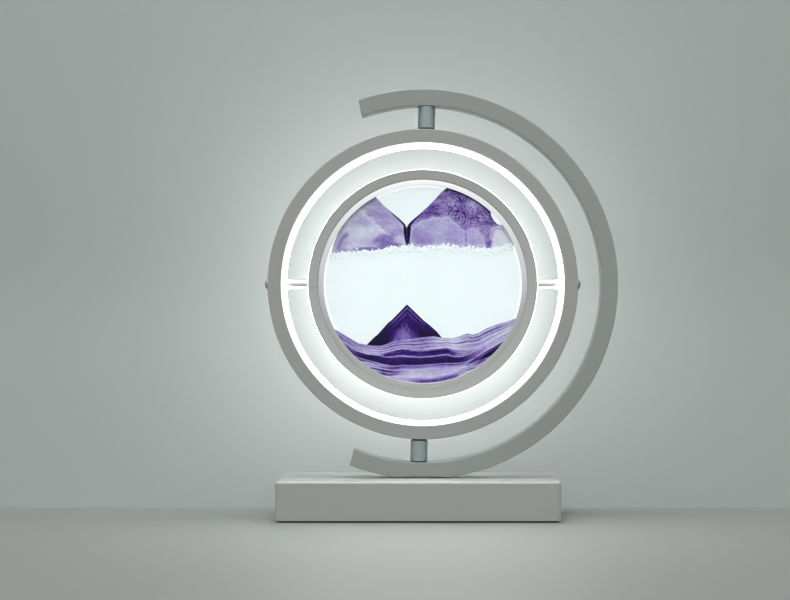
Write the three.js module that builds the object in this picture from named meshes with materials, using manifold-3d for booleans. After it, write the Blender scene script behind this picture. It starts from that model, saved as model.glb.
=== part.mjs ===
import * as THREE from 'three';
import { mergeVertices } from 'three/addons/utils/BufferGeometryUtils.js';
import Module from 'manifold-3d';

// A desk lamp whose round sand picture turns in a lit ring, which turns in a C-shaped arm on a base.
// Millimetres, +Z up, the front faces -Y. The origin is the middle of the base's underside.

const wasm = await Module();
wasm.setup();
const rad = THREE.MathUtils.degToRad;

// Clearances
const runningGap = 0.15; // radial play of a turning fit
const slipGap = 0.1; // between flat pieces stacked on one axis
const fitGap = 0.3; // round or under a piece that rests in or on another
const overrun = 2; // how far a cutting tool runs past the face that it cuts

// Roundness of the facets
const ringSides = 56;
const roundSides = 16;
const hexSides = 6;
const cornerSides = 2;
const armSides = 30;
const stripSides = 8;

// Base
const baseWidth = 178;
const baseDepth = 70;
const baseHeight = 25;
const baseCorner = 2.5;
const baseEdge = 0.8;
const baseWall = 1.6;
const baseTopThickness = 2;
const padThickness = 1;
const padInset = 1.5;
const plateThickness = 2;
const bossRadius = 3.4;
const bossInset = 8;
const coverScrewRadius = 1.3;
const coverScrewHeadRadius = 2.7;
const coverScrewLength = 11;
const ballastEndMargin = 24;
const ballastFrontMargin = 7;
const ballastBoardGap = 4;
const ballastHeight = 8;
const ballastCorner = 2;

// Electrics in the base, at its back
const boardWidth = 46;
const boardDepth = 18;
const boardThickness = 1.6;
const boardEndInset = 44;
const boardSetback = 5;
const standoffHeight = 5.4;
const standoffRadius = 2;
const standoffInset = 3;
const capacitorRadius = 3;
const capacitorHeight = 7;
const chokeWidth = 6;
const chokeHeight = 3.5;
const terminalWidth = 6;
const terminalDepth = 5;
const terminalHeight = 3.4;
const inletWidth = 9;
const inletHeight = 3.3;
const inletLength = 7.4;
const inletWall = 0.4;
const inletBack = 1.2;
const inletRecess = 0.2;
const inletTongueWidth = 6.4;
const inletTongueHeight = 0.7;
const inletTongueSetback = 0.8;
const inletShiftX = 12;
const buttonRadius = 4.2;
const buttonEdge = 0.7;
const buttonProud = 1.6;
const buttonFlangeRadius = 5.2;
const buttonFlange = 1.2;
const buttonTravel = 1.5;
const buttonStemRadius = 1.5;
const buttonStemLength = 4.6;
const buttonShiftX = -11;
const switchGap = 0.9;
const switchWidth = 8;
const switchDepth = 8;
const switchHeight = 5.6;
const leadRadius = 1;
const leadClearance = 1.6;
const leadBendShares = [[0.5, 0.85], [0.18, 0.3], [0.03, 0.04]]; // of its start's x and y
const leadSides = 4;
const leadSteps = 26;

// C-shaped arm: a bar bent to an arc that leans a little to the right
const armLean = rad(1.3);
const armOuterRadius = 125;
const armBarHeight = 10.7;
const armBarDepth = 11.5;
const armEdge = 0.6;
const armReach = rad(110);
const armSeatDepth = 0.75;
const armScrewOffset = 9.5;
const armScrewRadius = 1.5;
const armScrewDepth = 8;
const armScrewHeadRadius = 2.8;
const armScrewHeadHeight = 1.8;

// Upper and lower pivot
const ringGap = 14.9;
const postRadius = 5.5;
const postEdge = 0.4;
const thrustWasherRadius = 4.6;
const thrustWasherThickness = 0.6;
const footWasherRadius = 5.2;
const footWasherThickness = 0.5;
const tubeRadius = 3;
const tubeBoreRadius = 2;
const tubeProud = 1;
const tubeWasherRadius = 6;
const tubeWasherThickness = 1;
const tubeNutAcrossFlats = 10;
const tubeNutHeight = 4;
const pivotNutRadius = 4.2;
const pivotNutHeight = 2;
const pivotNutSlotWidth = 1.2;
const pivotNutSlotDepth = 0.7;
const pivotScrewRadius = 2;
const pivotScrewHeadRadius = 3.6;
const pivotScrewHeadHeight = 2;
const pivotScrewHeadEdge = 0.6;
const pivotScrewReach = 6;
const postScrewRadius = 2;
const postScrewHeadRadius = 3.8;
const postScrewHeadSink = 0.3;
const postScrewLength = 18;
const driveRadius = 1.2;
const driveDepth = 1;

// Lamp ring: a channel open towards its centre, with the diffuser in its mouth
const ringDepth = 12;
const ringBand = 8.6;
const ringWall = 1.6;
const ringFlange = 1.5;
const ringEdge = 0.5;
const diffuserStandout = 3.8;
const diffuserSetback = 1.2;
const diffuserRounding = 1;
const diffuserLeg = 2.9;
const stripWidth = 8;
const stripThickness = 0.4;
const stripMargin = rad(6);
const stripCount = 4;
const chipLength = 3.5;
const chipWidth = 2.8;
const chipHeight = 0.9;
const chipSink = 0.2;
const chipsPerStrip = 9;

// Axle of the sand cell
const cellGap = 13.5;
const rodRadius = 2.9;
const rodReach = 5.5;
const bushWall = 1;
const bushEnd = 0.2;
const axleScrewRadius = 1.5;
const axleScrewLength = 11;
const axleScrewHeadRadius = 3.4;
const axleScrewHeadHeight = 1.9;
const domeShares = [[1, 0.3], [0.75, 0.8], [0.4, 1]]; // of the head's radius and height

// Sand cell
const cellDepth = 12;
const cellBand = 6.1;
const cellEdge = 0.5;
const glassThickness = 1.9;
const cavityDepth = 4.4;
const rimBand = 3.5;
const rimFoot = 0.5;
const rimSetback = 0.1;
const rimLand = 0.4;
const spacerBand = 3;
const sandSlack = 0.3;
const liquidSlack = 0.2;
const plugRadius = 1.2;

// Outlines of the sand and of the bubble line, in shares of the window's radius
const upperLeftShares = [
  [-0.471, 0.867], [-0.335, 0.738], [-0.257, 0.666], [-0.171, 0.59], [-0.164, 0.48], [-0.161, 0.359],
  [-0.287, 0.369], [-0.428, 0.339], [-0.629, 0.329], [-0.779, 0.349], [-0.93, 0.319], [-1.11, 0.3],
  [-1.05, 0.69], [-0.83, 0.98], [-0.57, 1.06],
];
const upperRightShares = [
  [-0.166, 0.59], [0.004, 0.738], [0.114, 0.851], [0.232, 0.966], [0.305, 1.14], [0.777, 0.98],
  [1.08, 0.54], [1.04, 0.41], [0.91, 0.414], [0.777, 0.369], [0.637, 0.349], [0.476, 0.364],
  [0.342, 0.354], [0.181, 0.385], [0.024, 0.364], [-0.161, 0.359], [-0.164, 0.48],
];
const bubbleShares = [
  [-1.07, 0.44], [1.08, 0.44], [1.08, 0.3], [0.938, 0.3], [0.677, 0.28], [0.376, 0.3], [0.074, 0.284],
  [-0.227, 0.304], [-0.528, 0.28], [-0.729, 0.294], [-0.93, 0.28], [-1.07, 0.29],
];
const bedShares = [
  [-1.03, -0.394], [-0.888, -0.456], [-0.777, -0.514], [-0.66, -0.595], [-0.563, -0.617], [-0.428, -0.638],
  [-0.227, -0.635], [0.024, -0.599], [0.195, -0.544], [0.342, -0.544], [0.453, -0.5], [0.563, -0.5],
  [0.711, -0.419], [0.843, -0.374], [0.961, -0.327], [1.08, -0.283], [1.08, -1.17], [-1.07, -1.17],
];
const peakShares = [
  [-0.563, -0.617], [-0.361, -0.414], [-0.159, -0.21], [0.018, -0.377], [0.195, -0.544],
  [0.024, -0.599], [-0.227, -0.635], [-0.428, -0.638],
];

// Sizes that follow from the ones above
const plateTop = padThickness + plateThickness;
const baseInside = baseHeight - baseTopThickness;
const backWallInner = baseDepth / 2 - baseWall;
const boardBottom = plateTop + standoffHeight;
const boardTop = boardBottom + boardThickness;
const boardBack = baseDepth / 2 - boardSetback;
const boardFront = boardBack - boardDepth;
const boardCentreX = baseWidth / 2 - boardEndInset;
const boardLeft = boardCentreX - boardWidth / 2;
const inletCentreZ = boardTop + slipGap + inletHeight / 2;
const inletX = boardCentreX + inletShiftX;
const buttonX = boardCentreX + buttonShiftX;
const buttonZ = boardTop + slipGap + switchHeight / 2;
const flangeBack = backWallInner - fitGap;
const flangeFront = flangeBack - buttonFlange;
const stemFront = flangeFront - buttonStemLength;
const switchBack = flangeFront - buttonTravel - switchGap;
const armInnerRadius = armOuterRadius - armBarHeight;
const armCentreHeight = (armOuterRadius - armSeatDepth) / Math.cos(armLean);
const ringRadius = armInnerRadius - ringGap;
const ringFloor = ringRadius - ringWall;
const ringMouth = ringRadius - ringBand;
const postSeat = Math.sqrt(armInnerRadius ** 2 - postRadius ** 2) - fitGap;
const thrustWasherFoot = ringRadius + slipGap;
const thrustWasherTop = thrustWasherFoot + thrustWasherThickness;
const tubeTop = -(ringFloor - fitGap - pivotNutHeight - fitGap);
const tubeWasherTop = -(armCentreHeight + baseTopThickness + fitGap);
const tubeNutTop = tubeWasherTop - tubeWasherThickness - slipGap;
const tubeBottom = tubeNutTop - tubeNutHeight - tubeProud;
const stripSpan = 2 * Math.PI / stripCount;
const diffuserRadius = ringMouth - diffuserStandout;
const cellRadius = diffuserRadius - cellGap;
const cellInnerRadius = cellRadius - cellBand;
const rodInner = cellRadius - rodReach;
const rodOuter = ringFloor - fitGap;
const bushRadius = rodRadius + runningGap + bushWall;
const rimRadius = cellInnerRadius - fitGap;
const windowRadius = rimRadius - rimBand;
const glassRadius = rimRadius - bushEnd;
const glassInner = cavityDepth / 2;
const glassOuter = glassInner + glassThickness;
const spacerInner = glassRadius - spacerBand;
const sandRadius = spacerInner - fitGap;

// Finishes
function finish(color, roughness, metalness) {
  return new THREE.MeshStandardMaterial({ color, roughness, metalness });
}

const greyPaint = finish(0x8d918d, 0.5, 0.1);
const satinSteel = finish(0x8b9698, 0.3, 1);
const polishedSteel = finish(0xd8dcda, 0.15, 1);
const zincSteel = finish(0xa9adb0, 0.35, 1);
const plainSteel = finish(0x6e7275, 0.6, 0.9);
const blackRubber = finish(0x1c1d1e, 0.9, 0);
const blackNylon = finish(0x242627, 0.6, 0);
const whitePlastic = finish(0xe4e5e2, 0.35, 0);
const blackPlastic = finish(0x2b2d2e, 0.55, 0);
const circuitGreen = finish(0x1f6b45, 0.5, 0);
const stripWhite = finish(0xf0f0ea, 0.5, 0);
const diffuserWhite = finish(0xfdfdfa, 0.6, 0);
const clearGlass = finish(0xeaf4f2, 0.03, 0);
const clearLiquid = finish(0xf2f7f7, 0.05, 0);
const bubbleWhite = finish(0xfafafc, 0.5, 0);
const lavenderSand = finish(0x9b8ab8, 0.9, 0);
const violetSand = finish(0x6a4f9b, 0.9, 0);
const darkSand = finish(0x33224f, 0.9, 0);

// Turning a geometry into a solid that can be cut, and back
function solidOf(geometry) {
  geometry.deleteAttribute('normal');
  geometry.deleteAttribute('uv');
  const merged = mergeVertices(geometry);
  const corners = [];
  const index = merged.index.array;
  for (let i = 0; i < index.length; i += 3) {
    const [a, b, c] = [index[i], index[i + 1], index[i + 2]];
    if (a !== b && b !== c && c !== a) corners.push(a, b, c);
  }
  const vertProperties = merged.attributes.position.array;
  const triVerts = new Uint32Array(corners);
  return new wasm.Manifold(new wasm.Mesh({ numProp: 3, vertProperties, triVerts }));
}

function geometryOf(solid) {
  const mesh = solid.getMesh();
  const geometry = new THREE.BufferGeometry();
  geometry.setAttribute('position', new THREE.BufferAttribute(mesh.vertProperties, 3));
  geometry.setIndex(new THREE.BufferAttribute(mesh.triVerts, 1));
  geometry.computeVertexNormals();
  return geometry;
}

const cut = (solid, ...tools) => tools.reduce((left, tool) => left.subtract(solidOf(tool)), solid);
const join = (solid, ...additions) => additions.reduce((whole, more) => whole.add(solidOf(more)), solid);

// A shape turned about the Y axis from [radius, height] corners, given anticlockwise.
// One that starts and ends on the axis is solid, and any other closes on itself as a ring.
function turned(corners, sides = roundSides) {
  const outline = corners.map(([radius, height]) => new THREE.Vector2(radius, height));
  if (corners[0][0] > 0) outline.push(outline[0].clone());
  return new THREE.LatheGeometry(outline, sides);
}

// Lays the axis of a turned shape along X or Z
const layAlongX = (geometry) => geometry.rotateZ(-Math.PI / 2);
const standAlongZ = (geometry) => geometry.rotateX(Math.PI / 2);

function cylinder(radius, from, to, sides = roundSides) {
  return turned([[0, from], [radius, from], [radius, to], [0, to]], sides);
}

function sleeve(radius, bore, from, to, sides = roundSides) {
  return turned([[bore, from], [radius, from], [radius, to], [bore, to]], sides);
}

function block(width, depth, height, x, y, z) {
  return new THREE.BoxGeometry(width, depth, height).translate(x, y, z);
}

function roundedRectangle(width, height, radius) {
  const x = width / 2 - radius;
  const y = height / 2 - radius;
  const quarter = Math.PI / 2;
  const shape = new THREE.Shape();
  shape.absarc(x, y, radius, 0, quarter);
  shape.absarc(-x, y, radius, quarter, 2 * quarter);
  shape.absarc(-x, -y, radius, 2 * quarter, 3 * quarter);
  shape.absarc(x, -y, radius, 3 * quarter, 4 * quarter);
  shape.closePath();
  return shape;
}

// A shape drawn in X and Y, raised from one height to another, with its edges broken
function raised(shape, from, to, edge = 0, curveSegments = cornerSides) {
  const options = { depth: to - from - 2 * edge, curveSegments, bevelEnabled: edge > 0 };
  Object.assign(options, { bevelSize: edge, bevelThickness: edge, bevelOffset: -edge, bevelSegments: 1 });
  return new THREE.ExtrudeGeometry(shape, options).translate(0, 0, from + edge);
}

// A shape drawn in X and Z, seen from the front, that runs along Y from one place to another
function upright(shape, from, to, edge = 0, curveSegments = cornerSides) {
  return raised(shape, -to, -from, edge, curveSegments).rotateX(Math.PI / 2);
}

// An arc of a flat ring, seen from the front
function arcShape(outer, inner, start, end) {
  const shape = new THREE.Shape();
  shape.absarc(0, 0, outer, start, end, false);
  shape.absarc(0, 0, inner, end, start, true);
  shape.closePath();
  return shape;
}

// A countersunk screw along Z: its head's flat top is at zero and its shank runs down
function countersunk(headRadius, shankRadius, length) {
  const cone = headRadius - shankRadius;
  const outline = [[0, -length], [shankRadius, -length], [shankRadius, -cone], [headRadius, 0], [0, 0]];
  return standAlongZ(turned(outline));
}

function countersunkScrew(headRadius, shankRadius, length) {
  const drive = standAlongZ(cylinder(driveRadius, -driveDepth, overrun, hexSides));
  return cut(solidOf(countersunk(headRadius, shankRadius, length)), drive);
}

// The hole for such a screw
function countersunkHole(headRadius, shankRadius, gap, depth) {
  const cone = headRadius - shankRadius;
  const shank = shankRadius + gap;
  const head = headRadius + gap;
  const outline = [[0, -depth], [shank, -depth], [shank, -cone], [head, 0], [head, overrun], [0, overrun]];
  return standAlongZ(turned(outline));
}

// Places a tool that is given about the leaning pivot axis, from the arm's centre, in the base's frame
function leaned(geometry) {
  return geometry.translate(0, 0, armCentreHeight).rotateY(armLean).translate(0, 0, baseHeight);
}

const bossPlaces = [];
for (const side of [-1, 1]) {
  for (const end of [-1, 1]) {
    bossPlaces.push([side * (baseWidth / 2 - bossInset), end * (baseDepth / 2 - bossInset)]);
  }
}

// Folded sheet cover of the base, with four screw bosses under its top
function baseShell() {
  const outside = roundedRectangle(baseWidth, baseDepth, baseCorner);
  const insideWidth = baseWidth - 2 * baseWall;
  const insideDepth = baseDepth - 2 * baseWall;
  const inside = roundedRectangle(insideWidth, insideDepth, baseCorner - baseWall);
  let shell = solidOf(raised(outside, padThickness, baseHeight, baseEdge));
  shell = cut(shell, raised(inside, padThickness - overrun, baseInside));
  for (const [x, y] of bossPlaces) {
    const boss = standAlongZ(cylinder(bossRadius, plateTop, baseInside + baseTopThickness / 2));
    const holeTop = padThickness + coverScrewLength + overrun;
    const hole = standAlongZ(cylinder(coverScrewRadius + runningGap, plateTop - overrun, holeTop));
    shell = cut(join(shell, boss.translate(x, y, 0)), hole.translate(x, y, 0));
  }
  const holeFoot = -(armCentreHeight + baseTopThickness + overrun);
  const holeTop = -(armCentreHeight - overrun);
  shell = cut(shell, leaned(standAlongZ(cylinder(tubeRadius + fitGap, holeFoot, holeTop))));
  for (const side of [-1, 1]) {
    const hole = standAlongZ(cylinder(armScrewRadius + fitGap, holeFoot, holeTop));
    shell = cut(shell, leaned(hole.translate(side * armScrewOffset, 0, 0)));
  }
  const inletHole = roundedRectangle(inletWidth + 2 * fitGap, inletHeight + 2 * fitGap, inletHeight / 2);
  const inletCut = upright(inletHole, backWallInner - overrun, baseDepth / 2 + overrun);
  const buttonCut = cylinder(buttonRadius + fitGap, backWallInner - overrun, baseDepth / 2 + overrun);
  shell = cut(shell, inletCut.translate(inletX, 0, inletCentreZ));
  return cut(shell, buttonCut.translate(buttonX, 0, buttonZ));
}

// Bottom plate inside the cover's walls, with posts for the control board
function basePlate() {
  const margin = 2 * (baseWall + fitGap);
  const outline = roundedRectangle(baseWidth - margin, baseDepth - margin, baseCorner - baseWall);
  let plate = solidOf(raised(outline, padThickness, plateTop));
  for (const [x, y] of bossPlaces) {
    const hole = countersunkHole(coverScrewHeadRadius, coverScrewRadius, fitGap, plateThickness + overrun);
    plate = cut(plate, hole.rotateX(Math.PI).translate(x, y, padThickness));
  }
  for (const x of [boardLeft + standoffInset, boardLeft + boardWidth - standoffInset]) {
    for (const y of [boardFront + standoffInset, boardBack - standoffInset]) {
      const post = standAlongZ(cylinder(standoffRadius, plateTop - plateThickness / 2, boardBottom));
      plate = join(plate, post.translate(x, y, 0));
    }
  }
  return plate;
}

function basePad() {
  const outline = roundedRectangle(baseWidth - 2 * padInset, baseDepth - 2 * padInset, baseCorner);
  return solidOf(raised(outline, 0, padThickness));
}

function ballast() {
  const front = ballastFrontMargin - baseDepth / 2;
  const back = boardFront - ballastBoardGap;
  const outline = roundedRectangle(baseWidth - 2 * ballastEndMargin, back - front, ballastCorner);
  const bar = raised(outline, plateTop, plateTop + ballastHeight);
  return solidOf(bar.translate(0, (front + back) / 2, 0));
}

// Control board with its capacitor, choke and terminal block
function controlBoard() {
  const centreY = (boardFront + boardBack) / 2;
  const middleZ = boardBottom + boardThickness / 2;
  const board = solidOf(block(boardWidth, boardDepth, boardThickness, boardCentreX, centreY, middleZ));
  const capacitor = standAlongZ(cylinder(capacitorRadius, middleZ, boardTop + capacitorHeight));
  const capacitorX = boardLeft + boardWidth - capacitorRadius - standoffInset;
  capacitor.translate(capacitorX, boardFront + capacitorRadius + standoffInset, 0);
  const chokeTall = chokeHeight + boardThickness / 2;
  const chokeY = boardFront + chokeWidth / 2 + standoffInset / 2;
  const choke = block(chokeWidth, chokeWidth, chokeTall, boardCentreX, chokeY, middleZ + chokeTall / 2);
  const terminalTall = terminalHeight + boardThickness / 2;
  const terminalX = boardLeft + standoffInset + terminalWidth / 2;
  const terminalY = boardFront + standoffInset / 2 + terminalDepth / 2;
  const terminalZ = middleZ + terminalTall / 2;
  const terminal = block(terminalWidth, terminalDepth, terminalTall, terminalX, terminalY, terminalZ);
  return join(board, capacitor, choke, terminal);
}

// Low-voltage inlet: a flat metal sleeve, closed behind, with a tongue in the middle
function powerInlet() {
  const mouth = baseDepth / 2 - inletRecess;
  const back = mouth - inletLength;
  const corner = inletHeight / 2 - inletWall;
  const outer = roundedRectangle(inletWidth, inletHeight, corner);
  const bore = roundedRectangle(inletWidth - 2 * inletWall, inletHeight - 2 * inletWall, corner - inletWall);
  const hollow = upright(bore, back + inletBack, mouth + overrun);
  const tongueLength = inletLength - inletTongueSetback - inletBack / 2;
  const tongueY = back + inletBack / 2 + tongueLength / 2;
  const tongue = block(inletTongueWidth, tongueLength, inletTongueHeight, 0, tongueY, 0);
  return join(cut(solidOf(upright(outer, back, mouth)), hollow), tongue);
}

// Push button: a cap through the back wall, a flange that keeps it in and a stem into the switch
function powerButton() {
  const capBack = baseDepth / 2 + buttonProud;
  const corners = [[0, stemFront], [buttonStemRadius, stemFront], [buttonStemRadius, flangeFront]];
  corners.push([buttonFlangeRadius, flangeFront], [buttonFlangeRadius, flangeBack]);
  corners.push([buttonRadius, flangeBack], [buttonRadius, capBack - buttonEdge]);
  corners.push([buttonRadius - buttonEdge, capBack], [0, capBack]);
  return solidOf(turned(corners));
}

function switchBody() {
  const body = block(switchWidth, switchDepth, switchHeight, 0, switchBack - switchDepth / 2, 0);
  const bore = cylinder(buttonStemRadius + fitGap, stemFront - buttonTravel - fitGap, switchBack + overrun);
  return cut(solidOf(body), bore);
}

// Two-core lead from the terminal block, through the threaded tube, to the light strips
function powerLead() {
  const startX = boardLeft + standoffInset - fitGap;
  const startY = boardFront + standoffInset / 2 + terminalDepth / 2;
  const runHeight = plateTop + ballastHeight + leadClearance;
  const onAxis = (height) => new THREE.Vector3(Math.tan(armLean) * (height - baseHeight), 0, height);
  const tubeMouth = baseHeight + armCentreHeight + tubeBottom;
  const leadTop = baseHeight + (armCentreHeight + tubeTop + fitGap) * Math.cos(armLean);
  const bends = leadBendShares.map(([x, y]) => new THREE.Vector3(x * startX, y * startY, runHeight));
  bends.at(-1).z = (runHeight + tubeMouth) / 2;
  const route = new THREE.CatmullRomCurve3([
    new THREE.Vector3(startX, startY, runHeight),
    ...bends,
    onAxis(tubeMouth + leadRadius * 2),
    onAxis((tubeMouth + leadTop) / 2),
    onAxis(leadTop),
  ]);
  const section = new THREE.Shape().absarc(0, 0, leadRadius, 0, 2 * Math.PI);
  const options = { steps: leadSteps, curveSegments: leadSides, bevelEnabled: false, extrudePath: route };
  return solidOf(new THREE.ExtrudeGeometry(section, options));
}

// The arc bar, flat where it stands on the base, bored for the tube and for its screws
function arcArm() {
  const shape = arcShape(armOuterRadius, armInnerRadius, -armReach, armReach);
  let arm = solidOf(upright(shape, -armBarDepth / 2, armBarDepth / 2, armEdge, armSides));
  const seatTool = block(armOuterRadius, baseDepth, overrun * 2, 0, 0, fitGap - overrun);
  arm = cut(arm, seatTool.rotateY(-armLean).translate(0, 0, -armCentreHeight));
  const below = -(armOuterRadius + overrun);
  arm = cut(arm, standAlongZ(cylinder(tubeRadius + fitGap, below, overrun - armInnerRadius)));
  for (const side of [-1, 1]) {
    const top = armScrewDepth + fitGap - armCentreHeight;
    const hole = standAlongZ(cylinder(armScrewRadius + fitGap, below, top));
    arm = cut(arm, hole.translate(side * armScrewOffset, 0, 0));
  }
  const depth = armBarHeight + overrun;
  const screwHole = countersunkHole(postScrewHeadRadius, postScrewRadius, fitGap, depth);
  return cut(arm, screwHole.translate(0, 0, armOuterRadius - postScrewHeadSink));
}

function armScrew() {
  const headTop = -(armCentreHeight + baseTopThickness + fitGap);
  const headFoot = headTop - armScrewHeadHeight;
  const tip = armScrewDepth - armCentreHeight;
  const corners = [[0, headFoot], [armScrewHeadRadius, headFoot], [armScrewHeadRadius, headTop]];
  corners.push([armScrewRadius, headTop], [armScrewRadius, tip], [0, tip]);
  const drive = cylinder(driveRadius, headFoot - overrun, headFoot + driveDepth, hexSides);
  return cut(solidOf(standAlongZ(turned(corners))), standAlongZ(drive));
}

// A post with its ends broken and a bore through it
function post(bore, from, to) {
  const edge = postRadius - postEdge;
  const corners = [[bore, from], [edge, from], [postRadius, from + postEdge]];
  corners.push([postRadius, to - postEdge], [edge, to], [bore, to]);
  return solidOf(standAlongZ(turned(corners)));
}

const washer = (radius, bore, from, to) => solidOf(standAlongZ(sleeve(radius, bore, from, to)));

function tubeNut() {
  const cornerRadius = tubeNutAcrossFlats / 2 / Math.cos(Math.PI / hexSides);
  const nut = standAlongZ(cylinder(cornerRadius, tubeNutTop - tubeNutHeight, tubeNutTop, hexSides));
  const bore = cylinder(tubeRadius + runningGap, tubeNutTop - tubeNutHeight - overrun, tubeNutTop + overrun);
  return cut(solidOf(nut), standAlongZ(bore));
}

// Round nut that holds the tube in the lamp ring, with a slot across its top for the driver
function pivotNut() {
  const foot = fitGap - ringFloor;
  const top = foot + pivotNutHeight;
  const nut = washer(pivotNutRadius, tubeRadius + runningGap, foot, top);
  const slotLength = 2 * (pivotNutRadius + overrun);
  return cut(nut, block(slotLength, pivotNutSlotWidth, 2 * pivotNutSlotDepth, 0, 0, top));
}

// Screw from inside the lamp ring into the upper post: the ring turns on its shank
function upperPivotScrew() {
  const headTop = ringFloor - fitGap;
  const headFoot = headTop - pivotScrewHeadHeight;
  const tip = thrustWasherTop + pivotScrewReach;
  const corners = [[0, headFoot], [pivotScrewHeadRadius - pivotScrewHeadEdge, headFoot]];
  corners.push([pivotScrewHeadRadius, headFoot + pivotScrewHeadEdge], [pivotScrewHeadRadius, headTop]);
  corners.push([pivotScrewRadius, headTop], [pivotScrewRadius, tip], [0, tip]);
  const drive = cylinder(driveRadius, headFoot - overrun, headFoot + driveDepth, hexSides);
  return cut(solidOf(standAlongZ(turned(corners))), standAlongZ(drive));
}

// The channel ring, bored for both pivots and both axle screws
function lampRing() {
  const half = ringDepth / 2;
  const lip = half - ringFlange;
  const edge = ringRadius - ringEdge;
  const corners = [[ringMouth, -half], [edge, -half], [ringRadius, ringEdge - half]];
  corners.push([ringRadius, half - ringEdge], [edge, half], [ringMouth, half], [ringMouth, lip]);
  corners.push([ringFloor, lip], [ringFloor, -lip], [ringMouth, -lip]);
  const inside = ringFloor - overrun;
  const outside = ringRadius + overrun;
  const upperHole = standAlongZ(cylinder(pivotScrewRadius + runningGap, inside, outside)).rotateY(armLean);
  const lowerHole = standAlongZ(cylinder(tubeRadius + runningGap, -outside, -inside)).rotateY(armLean);
  const rightHole = layAlongX(cylinder(axleScrewRadius + runningGap, inside, outside));
  const leftHole = layAlongX(cylinder(axleScrewRadius + runningGap, -outside, -inside));
  return cut(solidOf(turned(corners, ringSides)), upperHole, lowerHole, rightHole, leftHole);
}

// Milky ring that fills the channel's mouth and stands out of it towards the centre
function diffuser() {
  const half = ringDepth / 2 - diffuserSetback;
  const legHalf = ringDepth / 2 - ringFlange - fitGap;
  const shoulder = ringMouth - fitGap;
  const legEnd = shoulder + diffuserLeg;
  const round = diffuserRadius + diffuserRounding;
  const face = half - diffuserRounding;
  const corners = [[diffuserRadius, -face], [round, -half], [shoulder, -half], [shoulder, -legHalf]];
  corners.push([legEnd, -legHalf], [legEnd, legHalf], [shoulder, legHalf], [shoulder, half]);
  corners.push([round, half], [diffuserRadius, face]);
  const bores = [-1, 1].map((side) => {
    const ends = [side * (diffuserRadius - overrun), side * (legEnd + overrun)];
    return layAlongX(cylinder(rodRadius + fitGap, Math.min(...ends), Math.max(...ends)));
  });
  return cut(solidOf(turned(corners, ringSides)), ...bores);
}

// One length of the light strip, between an axle rod and a pivot, with its chips towards the centre
function ledStrip(place) {
  const start = place * stripSpan + stripMargin;
  const end = (place + 1) * stripSpan - stripMargin;
  const outer = ringFloor - fitGap;
  const inner = outer - stripThickness;
  const shape = arcShape(outer, inner, start, end);
  let strip = solidOf(upright(shape, -stripWidth / 2, stripWidth / 2, 0, stripSides));
  for (let i = 0; i < chipsPerStrip; i += 1) {
    const angle = start + (end - start) * (i + 0.5) / chipsPerStrip;
    const tall = chipHeight + chipSink;
    const chip = block(tall, chipWidth, chipLength, inner + chipSink - tall / 2, 0, 0);
    strip = join(strip, chip.rotateY(-angle));
  }
  return strip;
}

// Axle rod along X, bored at its outer end for the axle screw
function axleRod() {
  const boreFoot = ringRadius - axleScrewLength - fitGap;
  const bore = cylinder(axleScrewRadius + runningGap, boreFoot, rodOuter + overrun);
  return cut(solidOf(layAlongX(cylinder(rodRadius, rodInner, rodOuter))), layAlongX(bore));
}

// Domed screw through the lamp ring into the rod's end
function axleScrew() {
  const seat = ringRadius + fitGap;
  const tip = ringRadius - axleScrewLength;
  const crown = seat + axleScrewHeadHeight;
  const corners = [[0, tip], [axleScrewRadius, tip], [axleScrewRadius, seat], [axleScrewHeadRadius, seat]];
  for (const [out, up] of domeShares) {
    corners.push([axleScrewHeadRadius * out, seat + axleScrewHeadHeight * up]);
  }
  corners.push([0, crown]);
  const drive = cylinder(driveRadius, crown - driveDepth, crown + overrun, hexSides);
  return cut(solidOf(layAlongX(turned(corners))), layAlongX(drive));
}

function cellFrame() {
  const half = cellDepth / 2;
  const edge = cellRadius - cellEdge;
  const corners = [[cellInnerRadius, -half], [edge, -half], [cellRadius, cellEdge - half]];
  corners.push([cellRadius, half - cellEdge], [edge, half], [cellInnerRadius, half]);
  const inside = cellInnerRadius - overrun;
  const outside = cellRadius + overrun;
  const rightHole = layAlongX(cylinder(bushRadius + slipGap, inside, outside));
  const leftHole = layAlongX(cylinder(bushRadius + slipGap, -outside, -inside));
  const plugHole = standAlongZ(cylinder(plugRadius + runningGap, -outside, -inside));
  return cut(solidOf(turned(corners, ringSides)), rightHole, leftHole, plugHole);
}

function axleBush() {
  const inner = cellInnerRadius + bushEnd;
  return solidOf(layAlongX(sleeve(bushRadius, rodRadius + runningGap, inner, cellRadius - bushEnd)));
}

// Inner rim behind the glass: low at its outer edge and highest at the window
function rearRim() {
  const foot = glassOuter + slipGap;
  const top = cellDepth / 2 - rimSetback;
  const corners = [[windowRadius, foot], [rimRadius, foot], [rimRadius, foot + rimFoot]];
  corners.push([windowRadius + rimBand / 2, top - rimFoot], [windowRadius + rimLand, top]);
  corners.push([windowRadius, top]);
  return turned(corners, ringSides);
}

function spacer() {
  const half = glassInner - slipGap;
  const ring = solidOf(sleeve(glassRadius, spacerInner, -half, half, ringSides));
  const plugHole = cylinder(plugRadius + runningGap, -(glassRadius + overrun), -(spacerInner - overrun));
  return cut(ring, standAlongZ(plugHole));
}

function fillPlug() {
  return solidOf(standAlongZ(cylinder(plugRadius, slipGap - cellRadius, -(spacerInner + slipGap))));
}

const pane = (from, to) => solidOf(cylinder(glassRadius, from, to, ringSides));

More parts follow.
